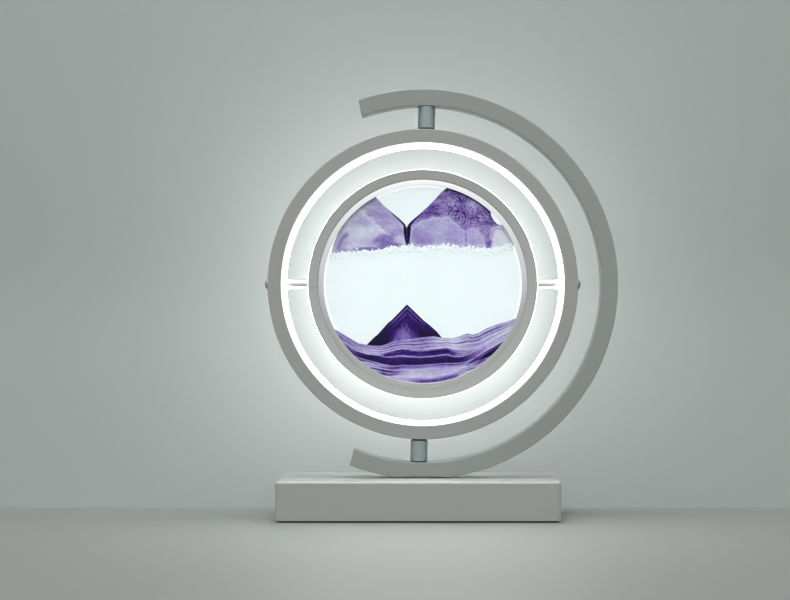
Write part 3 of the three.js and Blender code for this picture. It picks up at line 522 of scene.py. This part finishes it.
# Inner rims
# A white plastic ring on each side holds the glass in the hoop. It is low where it meets the hoop and
# rises to a narrow lip at the window. Its pearl lacquer mirrors the light above and the table below.
pearl_lacquer = solid_finish("pearl lacquer", "#e6e5e7", "#f0f0f0", 1400, 0.3, wear=0.15, uneven=0.03,
                             bump=0.06, Coat_Weight=0.3, Coat_Roughness=0.12, Metallic=0.7)
AXIS_FRONT = CENTRE @ Matrix.Rotation(math.pi / 2, 4, "X")
rim = softened([(63.75, 4.2), (67.35, 4.2), (67.35, 4.45), (65.6, 5.25, 4), (63.5, 5.88, 0.15), (63.4, 5.7)],
               hold=0.1, steps=8)
for name, axis, stands_for in (("rim_front", AXIS_FRONT, "front_rim"), ("rim_back", AXIS_BACK, "rear_rim")):
    make(name, turned(rim, axis, 288), pearl_lacquer, "sand_cell", "white_plastic", stands_for)


# Glass
# Two round panes of clear float glass, a little under two millimetres thick, sealed to the ring
# between them. Their faces are clean and only faintly uneven.
float_glass, tree, shader = new_finish("float glass")
place = own_place(tree)
fill(shader, ("Base Color", paint("#f6fbfa")), ("Transmission Weight", 1.0), ("IOR", 1.2),
     ("Roughness", spread(noise(place, 90, 4), 0.3, 0.7, 0.0, 0.035)),
     ("Normal", bumped(0.02, 0.0002, noise(place, 25, 1))))
clear = put(tree, "BsdfTransparent", (0, (0.97, 0.98, 0.98, 1)))
ray = put(tree, "LightPath").outputs
lets_by = maths("MAXIMUM", ray["Is Shadow Ray"], ray["Is Diffuse Ray"])
pane = join("MixShader", (0, lets_by), (1, shader.outputs[0]), (2, clear.outputs[0]))
fill(tree.nodes["Material Output"], (0, pane))
dress(float_glass, "front_glass", "rear_glass")


# Liquid
# The space between the panes is filled with a thick clear liquid, shown as a milky grey. A painted glow,
# whitest at its edge, stands in for the lit wall behind and the ring's light, and makes it brighter than the
# room.
MIDDLE = CENTRE.translation / 1000  # in metres


def stretched(where, by):
    """A place with its parts along the three axes multiplied."""
    return join("VectorMath", (0, where), (1, by), operation="MULTIPLY")


liquid_with_painted_glow, tree, shader = new_finish("liquid with painted glow")
place = own_place(tree)
aside = join("VectorMath", (0, place), (1, MIDDLE), operation="SUBTRACT")
away = join("VectorMath", (0, stretched(aside, (1, 0, 1))), operation="LENGTH", give="Value")
# painted glow: the liquid gives off light though it is no lamp, whiter towards the window's edge
fill(shader, ("Base Color", two_tones(noise(place, 45, 4), "#a8aeb0", "#b4babc")),
     ("Emission Color", two_tones(spread(away, 0.0616, 0.0633), "#d7d9da", "#ffffff")),
     ("Roughness", spread(noise(place, 30, 3), 0.3, 0.7, 0.4, 0.5)),
     ("Transmission Weight", 0.3), ("IOR", 1.38), ("Emission Strength", 0.7))
make("liquid_fill", turned([(60, -1.2), (63.75, -1.2), (63.75, 1.2), (60, 1.2)], AXIS_BACK, 192, caps=True),
     liquid_with_painted_glow, "sand_cell", "clear_liquid", "liquid_above", "liquid_below")


# Sand
# Fine sand in shades of violet, from nearly white to nearly black. What has run down lies in thin
# waving layers with a pointed heap on top, and what is left hangs in two lumps on the line of air.
WINDOW = 63.6  # the radius of the round window, which is the unit of all sizes of the sand
WALL = 1.004  # where the sand meets the wall of the cell, a little outside the window
GREY_SWING = 0.65  # how far the sand's greyness falls between its clouds

sand_tones, given, out = shader_group("sand tones", (), ("Tone", "Speckle", "Greyness"))
place = own_place(sand_tones)
fine, coarse = noise(place, 1500, 2, 0.7), noise(place, 420, 3, 0.6)
speckle = less(plus(fine, coarse), 1)
tone = plus(given["Tone"], speckle, given["Speckle"])
TONES = ((0, "#f2effb"), (0.15, "#ddd6f1"), (0.3, "#c5bae3"), (0.45, "#ab99d2"), (0.6, "#8e75bc"),
         (0.72, "#64429b"), (0.85, "#361775"), (1, "#100628"))
violet = ramp(tone, *[(stop, paint(colour)) for stop, colour in TONES])
grey_share = times(given["Greyness"], spread(tone, 0.65, 0.35))
greyed = join("HueSaturation", ("Hue", 0.475), ("Saturation", 0.6), ("Fac", grey_share), ("Color", violet))
fill(out, ("Colour", greyed), ("Height", fine), ("Roughness", spread(fine, 0.3, 0.7, 0.75, 0.95)))


def mark(tree, name):
    """What a piece's points carry under a name, such as how deep in the layers they lie."""
    return put(tree, "Attribute", attribute_name=name).outputs["Fac"]


def sand_finish(name, tone_of, speckle, greyness):
    """A sand whose tone, from pale at nothing to black at one, is worked out by tone_of. It is painted
    paler towards the cell's wall, a painted light that offsets the shade of the rim there."""
    made, tree, shader = new_finish(name)
    clouds = spread(noise(own_place(tree), 45, 3, 0.5), 0.4, 0.64, greyness - GREY_SWING, greyness)
    tone = tone_of(tree)
    # painted light: the sand is made paler close to the wall, to offset the rim's shade
    painted_light_at_wall = times(less(1, tone), spread(mark(tree, "wall"), 0.15, 0, 0, 0.22))
    grains = put(tree, "Group", ("Tone", less(tone, painted_light_at_wall)), ("Speckle", speckle), ("Greyness", clouds),
                 node_tree=sand_tones).outputs
    fill(shader, ("Base Color", grains["Colour"]), ("Roughness", grains["Roughness"]),
         ("Normal", bumped(0.35, 0.0001, grains["Height"])), ("Specular IOR Level", 0.08))
    return made


def stops(value, *pairs):
    """A value's tone on a scale, given as places from nothing to one with their tones."""
    scale = ramp(value, *[(stop, (tone, tone, tone, 1)) for stop, tone in pairs])
    return join("RGBToBW", (0, scale))


def flowing(along, across, x_scale, y_scale, detail=3):
    """Streaks that run along the layers."""
    where = join("CombineXYZ", (0, times(along, x_scale)), (1, times(across, y_scale)))
    return noise(where, 1, detail, 0.55)


def lean_to(tone, goal, share):
    """Moves a tone towards a goal by a share."""
    return join("Mix", (0, share), (2, tone), (3, goal), data_type="FLOAT")


def shaken(value, by, reach, low=0.3, high=0.7):
    """A value moved up or down by noise, at most by reach."""
    return plus(value, spread(by, low, high, -reach, reach))


def between(value, rise, fall):
    """One where a value has passed the rise but not the fall, each given as its start and end."""
    return times(spread(value, *rise), spread(value, *fall))


def lined(tree, tone, *lines):
    """A tone with marked lines over it, each with its name, goal, start, end and strength."""
    for name, goal, start, end, strength in lines:
        tone = lean_to(tone, goal, spread(mark(tree, name), start, end, 0, strength))
    return tone


def drawn(*points):
    """A drawn line from x and z in thousandths of the window's radius."""
    return [(x / 1000, z / 1000) for x, z in points]


def curve(points):
    xs, zs = zip(*points)
    return lambda x: np.interp(x, xs, zs)


def wall_at(x):
    return np.sqrt(np.maximum(WALL ** 2 - x ** 2, 0))


def sand_slab(name, reach, columns, rows, top, foot, front, finish, slot, stands_for, marks, relief):
    """A slab of sand seen through both panes: each column of points runs down the front, then up the
    back. marks are functions of x, z and depth that its points carry for the finish."""
    xs = np.linspace(*reach, columns)
    depth = np.linspace(0, 1, rows)
    x = np.repeat(xs[:, None], rows, 1)
    high, low = top(xs)[:, None], foot(xs)[:, None]
    z = high + (np.minimum(low, high - 0.003) - high) * depth
    deep = np.repeat(depth[None], len(xs), 0)
    y = -(front - relief(x, z, deep))
    face = np.stack([x * WINDOW + CENTRE_X, y, z * WINDOW + CENTRE_Z], -1)
    back = face[:, ::-1] * (1, -1, 1)
    rings = np.concatenate([face, back], 1)
    piece = make(name, loft(rings.tolist()), finish, "sand_cell", slot, stands_for)
    marks["wall"] = lambda x, z, d: WALL - np.hypot(x, z)
    for label, rule in marks.items():
        values = rule(x, z, deep)
        values = np.concatenate([values, values[:, ::-1]], 1).astype(np.float32).ravel()
        piece.data.attributes.new(label, "FLOAT", "POINT").data.foreach_set("value", values)


def gap_to(points, x, z):
    """The distance from each x and z to a line of points."""
    best = np.full(x.shape, 9.0)
    for (ax, az), (bx, bz) in zip(points, points[1:]):
        dx, dz = bx - ax, bz - az
        t = np.clip(((x - ax) * dx + (z - az) * dz) / (dx * dx + dz * dz), 0, 1)
        best = np.minimum(best, np.hypot(x - ax - t * dx, z - az - t * dz))
    return best


def spot(x, z, middle, width, height):
    """An oval patch: one in its middle, and nothing from its edge on."""
    return np.clip(1 - np.hypot((x - middle[0]) / width, (z - middle[1]) / height), 0, 1)


def patch(middle, width, height):
    return lambda x, z, d: spot(x, z, middle, width, height)


# Layered bed: it rises to both sides, where its layers run together at the wall
BED_TOP = drawn(
    (-900, -447), (-887, -455), (-773, -522), (-652, -596), (-565, -612), (-437, -620), (-384, -609),
    (-317, -576), (-223, -556), (-115, -549), (-8, -536), (113, -526), (193, -540), (314, -542),
    (381, -522), (448, -495), (502, -509), (569, -491), (636, -451), (743, -408), (837, -381), (950, -338),
)
BAND_TOP = drawn(
    (-893, -529), (-813, -582), (-706, -656), (-571, -692), (-417, -706), (-343, -692), (-276, -676),
    (-203, -663), (-115, -674), (-8, -680), (99, -667), (207, -654), (240, -648), (300, -667),
    (368, -679), (448, -679), (569, -650), (703, -582), (837, -509), (958, -442),
)
BAND_FOOT = drawn(
    (-893, -538), (-813, -593), (-706, -667), (-571, -710), (-397, -733), (-330, -737), (-223, -726),
    (-169, -729), (-35, -739), (99, -733), (193, -719), (240, -714), (314, -733), (381, -733),
    (448, -719), (569, -674), (703, -607), (837, -533), (958, -468),
)
BELT_FOOT = drawn(
    (-893, -569), (-813, -643), (-706, -717), (-625, -750), (-504, -781), (-397, -811), (-303, -827),
    (-169, -820), (-89, -824), (32, -815), (233, -800), (368, -797), (448, -781), (569, -730),
    (703, -663), (837, -589), (958, -522),
)


def bed_level(x, z, d):
    """How deep in the layers a point lies: the dark band runs from 0.3 to 0.4, the dark belt on to 0.6."""
    lines = [curve(line)(x) for line in (BED_TOP, BAND_TOP, BAND_FOOT, BELT_FOOT)] + [np.full(x.shape, -1.02)]
    steps = (0.3, 0.1, 0.2, 0.4)
    return sum(step * np.clip((a - z) / (a - b), 0, 1) for step, a, b in zip(steps, lines, lines[1:]))


def bed_slant(x, z, d):
    """The same, for the layers at the right, which fall more steeply than the band and the belt."""
    return bed_level(x, z, d) - np.interp(x, [0.3, 0.354, 0.475, 0.636, 0.817], [0.26, 0.2, 0.09, 0, -0.03])


def bed_tone(tree):
    along, depth, slant, wall = [mark(tree, name) for name in ("along", "depth", "slant", "wall")]
    streak = less(flowing(along, depth, 2.2, 24, 4), 0.5)
    thin = spread(flowing(along, depth, 2.2, 44, 3), 0.45, 0.58, -0.16, 0.16)
    level = plus(depth, streak, 0.035)
    above = ((0, 0.6), (0.03, 0.36), (0.07, 0.66), (0.095, 0.3), (0.14, 0.66), (0.165, 0.32),
             (0.22, 0.5), (0.25, 0.28))
    below = ((0.42, 0.9), (0.5, 0.96), (0.56, 0.94), (0.585, 0.84), (0.6, 0.34), (0.612, 0.8),
             (0.64, 0.56), (0.68, 0.34), (0.76, 0.32), (1, 0.3))
    banded = stops(level, *above, (0.28, 0.45), (0.305, 0.82), (0.35, 0.92), (0.375, 0.88),
                   (0.39, 0.42), (0.402, 0.5), *below)
    plain = stops(level, *above, (0.3, 0.4), (0.35, 0.3), (0.38, 0.5), (0.405, 0.9), *below)
    ragged = plus(along, thin, 0.5)
    ends = maths("MAXIMUM", spread(ragged, 0.28, 0.52), spread(along, -0.36, -0.46))
    tone = plus(lean_to(banded, plain, ends), streak, 0.45)

    slant = plus(slant, streak, 0.03)
    steep = stops(slant, (0.3, 0.5), (0.36, 0.62), (0.4, 0.42), (0.44, 0.6), (0.49, 0.3), (0.52, 0.4),
                  (0.545, 0.9), (0.575, 0.99), (0.59, 0.66), (0.602, 1), (0.66, 1), (0.67, 0.55),
                  (0.685, 0.95), (0.72, 0.6), (0.76, 0.7), (0.84, 0.4), (1, 0.4))
    right = times(spread(ragged, 0.36, 0.6), spread(slant, 0.28, 0.34))
    tone = lean_to(tone, plus(steep, thin, 0.6), right)

    tone = plus(tone, thin, spread(depth, 0.28, 0.2))
    under_heap = between(along, (-0.5, -0.25), (0.12, -0.02))
    beside_heap = between(along, (0.04, 0.16), (0.42, 0.3))
    shift = less(under_heap, beside_heap)
    tone = plus(tone, shift, spread(depth, 0.3, 0.24, 0, 0.13))

    thick = spread(flowing(along, depth, 1.3, 17, 2), 0.44, 0.54)
    lines = plus(stops(thick, (0, 0.56), (1, 0.95)), thin)
    left = times(spread(along, -0.12, -0.36), spread(depth, 0.59, 0.61, 0, 0.9))
    slope = times(spread(along, -0.55, -0.75), spread(depth, 0, 0.06, 0, 0.6))
    tone = lean_to(tone, lines, maths("MAXIMUM", left, slope))
    foot = times(spread(wall, 0.07, 0.025), spread(along, -0.25, 0))
    return lean_to(tone, 0.78, times(foot, spread(along, 0.45, 0.3)))


sand_slab(
    "sand_layers", (-0.888, 0.944), 280, 72, curve(BED_TOP), lambda x: -wall_at(x), 1.95,
    sand_finish("layered sand", bed_tone, 0.32, 0.4), "violet_sand", "sand_bed",
    {"along": lambda x, z, d: x, "depth": bed_level, "slant": bed_slant},
    lambda x, z, d: 0.05 + 0.04 * np.sin(60 * d + 3 * np.sin(4 * x)) * np.sin(math.pi * d),
)

# Pointed heap: sand that falls from the middle slides down both flanks in thin bands
PEAK = drawn(
    (-565, -609), (-477.5, -522), (-460, -512), (-343, -381), (-320, -368), (-159.6, -203),
    (18.8, -374.6), (50, -396), (139.5, -475.2), (193, -539.6),
)


def heap_tone(tree):
    flank, heart, along, high = [mark(tree, name) for name in ("flank", "heart", "along", "high")]
    streak = less(flowing(along, flank, 2.5, 60, 3), 0.5)
    bands = stops(plus(flank, streak, 0.012), (0, 1), (0.014, 0.96), (0.024, 0.62), (0.034, 0.92),
                  (0.05, 0.9), (0.058, 0.68), (0.066, 0.9), (0.1, 0.94), (0.112, 0.84), (0.125, 0.93),
                  (0.2, 0.9))
    tone = plus(lean_to(0.99, bands, spread(high, 0.2, 0.9)), streak, 0.12)
    cloud = noise(stretched(own_place(tree), (1, 1, 0.35)), 260, 4, 0.6)
    return lean_to(tone, 0.62, spread(shaken(heart, cloud, 0.22), 0.1, 0.7))


sand_slab(
    "sand_heap", (-0.575, 0.202), 200, 70, curve([(-0.58, -0.63), *PEAK, (0.21, -0.56)]),
    lambda x: curve(BED_TOP)(x) - 0.03, 1.8,
    sand_finish("heaped sand", heap_tone, 0.24, 0.65), "dark_sand", "sand_peak",
    {
        "flank": lambda x, z, d: gap_to(PEAK, x, z),
        "heart": patch((-0.165, -0.63), 0.2, 0.3),
        "along": lambda x, z, d: x,
        "high": lambda x, z, d: np.clip((z + 0.6) / 0.3, 0, 1),
    },
    lambda x, z, d: 0.03 * np.sin(140 * gap_to(PEAK, x, z)),
)

# Hanging lumps: sand that is held up by the line of air, with a dark cleft where the two meet
LEFT_END = drawn((-918, 320), (-912, 370), (-900, 410), (-868, 487), (-840, 560), (-800, 620))
LEFT_EDGE = drawn((-471, 874), (-395, 795), (-330, 739), (-236, 662), (-182, 610), (-158, 560))
LEFT_FOOT = drawn(
    (-960, 280), (-914, 298), (-712, 320), (-543, 315), (-375, 350), (-240, 365), (-139, 360),
)
LEFT_STROKE = drawn((-850, 370), (-831, 430), (-805, 471), (-770, 500))
CREASE = drawn((-660, 780), (-617, 725), (-523, 658), (-442, 578), (-375, 524), (-281, 491), (-160, 420))
RIGHT_EDGE = drawn(
    (-163, 575), (-140, 612), (-106, 647), (-38, 702), (46, 778), (113, 846), (180, 921), (239, 972),
)
NOTCH = drawn((686, 728), (690, 690), (716, 640), (753, 604), (803, 600), (830, 620))
RIGHT_FOOT = drawn(
    (-160, 360), (-38, 356), (130, 365), (298, 365), (450, 356), (635, 356), (803, 372), (940, 400),
)
RIGHT_STROKE = drawn((700, 470), (700, 510), (714, 553), (760, 566), (810, 546), (830, 510))
LOBES = [
    drawn(
        (-120, 300), (-126, 475), (-89, 559), (-22, 627), (63, 664), (147, 682), (231, 669), (332, 618),
        (399, 551), (433, 475), (445, 300),
    ),
    drawn((445, 300), (443, 475), (467, 551), (520, 585), (565, 563), (598, 500), (625, 425), (650, 300)),
    drawn((700, 300), (700, 470), (725, 559), (778, 600), (850, 620), (1000, 600), (1100, 300)),
]
CLEFT_AT = -0.158
CLEFT_WIDTH = drawn((355, 0), (385, 6), (410, 13), (440, 22), (480, 29), (530, 34), (570, 36), (600, 30))


def left_top(x):
    edge = np.where(x < LEFT_EDGE[0][0], wall_at(x), curve(LEFT_EDGE)(x))
    return np.where(x < LEFT_END[-1][0], np.minimum(edge, curve(LEFT_END)(x)), edge)


def right_top(x):
    edge = np.where(x < RIGHT_EDGE[-1][0], curve(RIGHT_EDGE)(x), wall_at(x))
    in_notch = (x > NOTCH[0][0]) & (x < NOTCH[-1][0])
    return np.where(in_notch, np.minimum(curve(NOTCH)(x), wall_at(x)), edge)


def in_lobes(x, z, d):
    """How far a point lies inside the pale lobes, or less than nothing outside them."""
    best = np.full(x.shape, -9.0)
    for lobe in LOBES:
        inside = (x > lobe[0][0]) & (x < lobe[-1][0]) & (z < curve(lobe)(x))
        best = np.maximum(best, np.where(inside, 1, -1) * gap_to(lobe, x, z))
    return best


def left_tone(tree):
    swirl = join("Mapping", ("Vector", own_place(tree)), ("Rotation", (0, -0.7, 0)),
                 ("Scale", (0.45, 1, 1.5)))
    wisp = noise(swirl, 150, 5, 0.65)
    tone = shaken(spread(noise(swirl, 40, 3, 0.5), 0.35, 0.65, 0.15, 0.35), wisp, 0.08)
    crease = shaken(mark(tree, "crease"), wisp, 0.02)
    shade = spread(wisp, 0.35, 0.65, 0.3, 0.48)
    tone = lean_to(tone, shade, spread(crease, -0.004, 0.02))
    ridge = between(crease, (-0.03, -0.002), (0.016, 0))
    tone = lean_to(tone, 0.14, times(ridge, 0.75))
    patches = ("crown", 0.5, 0.6), ("patch", 0.66, 0.6), ("shoulder", 0.26, 0.8), ("corner", 0.42, 0.5)
    for name, goal, reach in patches:
        inside = shaken(mark(tree, name), wisp, 0.2, 0.25, 0.75)
        tone = lean_to(tone, goal, spread(inside, 0.1, reach, 0, 0.85))
    return lined(tree, tone, ("stroke", 0.74, 0.035, 0, 0.6), ("slope", 0.97, 0.007, -0.003, 1),
                 ("cleft", 1, 0.006, -0.006, 1))


def right_tone(tree):
    place = own_place(tree)
    wisp, mottle = noise(place, 120, 4, 0.6), noise(place, 900, 3, 0.75)
    band = noise(stretched(place, (0.5, 1, 1.3)), 190, 4, 0.6)
    dark = shaken(spread(band, 0.35, 0.65, 0.5, 0.66), mottle, 0.12)
    dark = plus(dark, mark(tree, "shaded"), 0.2)
    # darker towards the wall: takes back part of the painted light that sand_finish adds there
    dark = plus(dark, spread(mark(tree, "wall"), 0.14, 0, 0, 0.12))
    dark = less(dark, times(mark(tree, "sunlit"), 0.3))
    clump = spread(noise(place, 300, 3, 0.6), 0.4, 0.62)
    specks = times(clump, spread(mottle, 0.42, 0.58, -0.07, 0.23))
    dark = plus(dark, specks, spread(mark(tree, "flecked"), 0.1, 0.5))
    pale = shaken(spread(wisp, 0.3, 0.7, 0.3, 0.44), mottle, 0.06)
    pale = lean_to(plus(pale, mark(tree, "patch"), 0.2), 0.08, mark(tree, "low"))
    lobe = shaken(mark(tree, "lobe"), wisp, 0.035, 0.2, 0.8)
    tone = lean_to(dark, pale, spread(lobe, -0.035, 0.012))
    line = between(lobe, (-0.008, 0.004), (0.025, 0.008))
    tone = lean_to(tone, 0.2, times(line, 0.5))
    return lined(tree, tone, ("stroke", 0.5, 0.012, 0.002, 0.7), ("slope", 0.93, 0.016, 0.002, 0.95),
                 ("cleft", 1, 0.006, -0.006, 1))


def cleft(side):
    """How far a point lies from the cleft's dark sand, which is widest a third of the way down."""
    return lambda x, z, d: side * (x - CLEFT_AT) - curve(CLEFT_WIDTH)(z)


def outer_line(x, z, d):
    """The distance from the dark line along the right lump's slope, its notch and the wall."""
    rim = np.abs(1 - np.hypot(x, z)) + np.where(x > 0.7, 9, 0)
    slope = gap_to(RIGHT_EDGE, x, z) - np.interp(x, [-0.13, -0.02, 0.06], [0.02, 0, -0.008])
    return np.minimum(np.minimum(slope, gap_to(NOTCH[:4], x, z)), rim)


def left_line(x, z, d):
    return gap_to(LEFT_EDGE, x, z) - np.interp(x, [-0.37, -0.32, -0.17], [-0.01, 0.006, 0.02])


def left_patches(x, z, d):
    return np.maximum(spot(x, z, (-0.5, 0.335), 0.3, 0.07), spot(x, z, (-0.35, 0.42), 0.2, 0.12))


def low_right(x, z, d):
    corner = np.clip((0.62 - z) / 0.1, 0, 1) * np.clip((x - 0.63) / 0.08, 0, 1)
    return corner + np.clip((0.43 - z) / 0.1, 0, 0.4)


def right_shade(x, z, d):
    return np.maximum(0.6 * spot(x, z, (0.07, 0.75), 0.14, 0.12), spot(x, z, (0.41, 0.75), 0.1, 0.1))


sand_slab(
    "sand_hanging_left", (-0.918, -0.1605), 210, 90, left_top, curve(LEFT_FOOT), 1.9,
    sand_finish("pale sand", left_tone, 0.3, 0.7), "lavender_sand", "sand_upper_left",
    {
        "crown": patch((-0.48, 0.84), 0.16, 0.12),
        "patch": left_patches,
        "corner": patch((-0.84, 0.42), 0.1, 0.16),
        "crease": lambda x, z, d: np.where(z > curve(CREASE)(x), 1, -1) * gap_to(CREASE, x, z),
        "stroke": lambda x, z, d: gap_to(LEFT_STROKE, x, z),
        "shoulder": patch((-0.23, 0.45), 0.12, 0.06),
        "slope": left_line,
        "cleft": cleft(-1),
    },
    lambda x, z, d: 0.03 * np.sin(9 * x + 5 * z) * np.sin(math.pi * d),
)
sand_slab(
    "sand_hanging_right", (-0.16, 0.928), 270, 90, right_top, curve(RIGHT_FOOT), 1.9,
    sand_finish("violet sand", right_tone, 0.2, 0.3), "violet_sand", "sand_upper_right",
    {
        "lobe": in_lobes, "slope": outer_line, "cleft": cleft(1), "low": low_right, "shaded": right_shade,
        "patch": patch((-0.03, 0.44), 0.16, 0.16),
        "flecked": patch((0.46, 0.76), 0.3, 0.24),
        "sunlit": patch((0.51, 0.81), 0.1, 0.1),
        "stroke": lambda x, z, d: gap_to(RIGHT_STROKE, x, z),
    },
    lambda x, z, d: 0.03 * np.sin(8 * x - 6 * z) * np.sin(math.pi * d),
)


# Line of air bubbles
# Air that is trapped in the cell gathers under the hanging sand as a ragged line of small bubbles,
# flattened between the panes. It lets the sand through only a little at a time.
FOAM_TOP = drawn(
    (-950, 315), (-796, 320), (-712, 332), (-628, 340), (-493, 340), (-375, 366), (-240, 383),
    (-106, 388), (-5, 374), (130, 383), (214, 396), (349, 383), (467, 374), (635, 357), (736, 366),
    (820, 391), (938, 420),
)
BUBBLE = ((0.35, -2.14), (0.75, -2.08), (1, -1.9), (1, 1.9), (0.75, 2.08), (0.35, 2.14))
bubbles_with_painted_glow, tree, shader = new_finish("air bubbles")
place = own_place(tree)
froth = two_tones(noise(place, 700, 3), "#dfe5e8", "#f6f9fb")
# painted glow: the bubbles give off a little light of their own, though they are no lamp
fill(shader, ("Base Color", froth), ("Emission Color", froth), ("Emission Strength", 0.24),
     ("Roughness", spread(noise(place, 900), 0.3, 0.7, 0.2, 0.45)))
BUBBLES, BUBBLE_REACH = 700, 63.7  # how many, and how far from the picture's middle
dice = np.random.default_rng(7)
points, faces = [], []
for i in range(BUBBLES):
    x = dice.uniform(-0.97, 0.95)
    down = dice.beta(1, 2.0)
    radius = (0.3 + 1.1 * dice.beta(1.3, 2.4)) * (1 - 0.3 * down)
    z = curve(FOAM_TOP)(x) + dice.normal(0, 0.011) + 0.006 - radius / WINDOW - 0.055 * down
    if math.hypot(x, z) * WINDOW + radius > BUBBLE_REACH:
        continue
    where = Matrix.Translation((CENTRE_X + x * WINDOW, 0, CENTRE_Z + z * WINDOW)) @ FACING_BACK
    part, skin_faces = turned([(radius * r, h) for r, h in BUBBLE], where, 12, caps=True)
    faces += [tuple(k + len(points) for k in face) for face in skin_faces]
    points += part
make("bubbles", (points, faces), bubbles_with_painted_glow, "sand_cell", "bubble_white", "bubble_line")


# Table, wall and light
# A pale grey table top with a painted wall close behind the lamp. A wide soft lamp hangs overhead, a
# weaker one stands in front, and small lamps in the ring give the ring's own light.
def sheet(name, run, colour, roughness, axis, *shading):
    """A wide sheet of the set along a run of y and z places. Its colour is painted darker or lighter along
    one axis, as painted light and shade.
    """
    made, tree, shader = new_finish(name)
    place = own_place(tree)
    darker, lighter = [tuple(c * share for c in paint(colour)[:3]) + (1,) for share in (0.97, 1.03)]
    tint = ramp(noise(place, 3, 4), (0, darker), (1, lighter))
    value = spread(join("SeparateXYZ", (0, place), give=axis), *shading)
    shaded = join("HueSaturation", ("Value", value), ("Color", tint))
    fill(shader, ("Base Color", shaded), ("Roughness", roughness))
    mesh = bpy.data.meshes.new(name)
    corners = [(side, y, z) for y, z in run for side in (-4, 4)]
    mesh.from_pydata(corners, [], [(i, i + 1, i + 3, i + 2) for i in range(0, len(corners) - 2, 2)])
    mesh.materials.append(made)
    mesh.shade_smooth()
    new_object(name, mesh)
    return tree, shader


# painted light: the table top is lighter towards the wall, against the shade that the wall throws on it
sheet("table_top", [(-1.6, 0), (4, 0)], "#6f726f", 0.6, "Y", -0.25, 0.05, 1, 1.2)
board = [(0.05 + 0.03 * (1 - (1 - z / 0.18) ** 2), z) for z in np.linspace(0, 0.18, 13)]
# painted shade: the wall is darker towards its foot, against the light that its sloping foot catches from
# above
tree, shader = sheet("wall", board + [(0.08, 0.6), (0.08, 3)], "#949997", 0.8, "Z", 0, 0.14, 0.87, 1)
see_past = put(tree, "BsdfTransparent")
behind = put(tree, "NewGeometry").outputs["Backfacing"]
one_way = join("MixShader", (0, behind), (1, shader.outputs[0]), (2, see_past.outputs[0]))
fill(tree.nodes["Material Output"], (0, one_way))

world = bpy.data.worlds.new("room")
bpy.context.scene.world = world
world.use_nodes = True
tree = world.node_tree
room = tree.nodes["Background"]
higher = join("SeparateXYZ", (0, put(tree, "TexCoord").outputs["Generated"]), give="Z")
fill(room, (0, (0.98, 1, 0.99, 1)), (1, spread(higher, 0, 1, 0.68, 1.2)))
seen = put(tree, "Background", (0, paint("#969a99")), (1, 1))
ray = put(tree, "LightPath").outputs
looks = maths("MAXIMUM", ray["Is Camera Ray"], ray["Is Transmission Ray"])
both = join("MixShader", (0, looks), (1, room.outputs[0]), (2, seen.outputs[0]))
fill(tree.nodes["World Output"], (0, both))


def soft_lamp(name, place, target, width, height, power):
    data = bpy.data.lights.new(name, "AREA")
    data.shape, data.size, data.size_y, data.energy = "RECTANGLE", width, height, power
    lamp = new_object(name, data)
    lamp.location = place
    lamp.rotation_euler = (Vector(target) - Vector(place)).to_track_quat("-Z", "Y").to_euler()
    return lamp


soft_lamp("front", (-0.05, -1.05, 0.62), (0, 0, 0.15), 0.9, 0.4, 3.6).visible_glossy = False
RING_LAMPS, LAMP_RADIUS, LAMP_POWER = 32, 0.0866, 0.047
for k in range(RING_LAMPS):  # short lengths that face the middle, weaker towards the ring's foot
    angle = 2 * math.pi * k / RING_LAMPS
    low = max(0, -math.cos(angle))
    lamp = soft_lamp(f"ring_{k}", (0, 0, 1), (0, 0, 0), 0.017, 0.008, LAMP_POWER * (1 - 0.56 * low ** 2))
    at_ring = Matrix.Translation(MIDDLE) @ Matrix.Rotation(angle, 4, "Y")
    lamp.matrix_world = at_ring @ Matrix.Translation((0, 0, LAMP_RADIUS))
    lamp.visible_camera = False
soft_lamp("overhead", (-0.1, -0.12, 1.3), (-0.1, -0.12, 0), 1.1, 0.5, 12)

camera = new_object("camera", bpy.data.cameras.new("camera"))
camera.location = (0.0049, -0.965, 0.115)
camera.rotation_euler = (math.pi / 2, 0, 0)
camera.data.sensor_width, camera.data.lens = 36, 68.3
camera.data.shift_x, camera.data.shift_y = -0.0393, 0.0476
camera.data.clip_start = 0.01
bpy.context.scene.camera = camera
bpy.context.scene.view_settings.view_transform = "Standard"
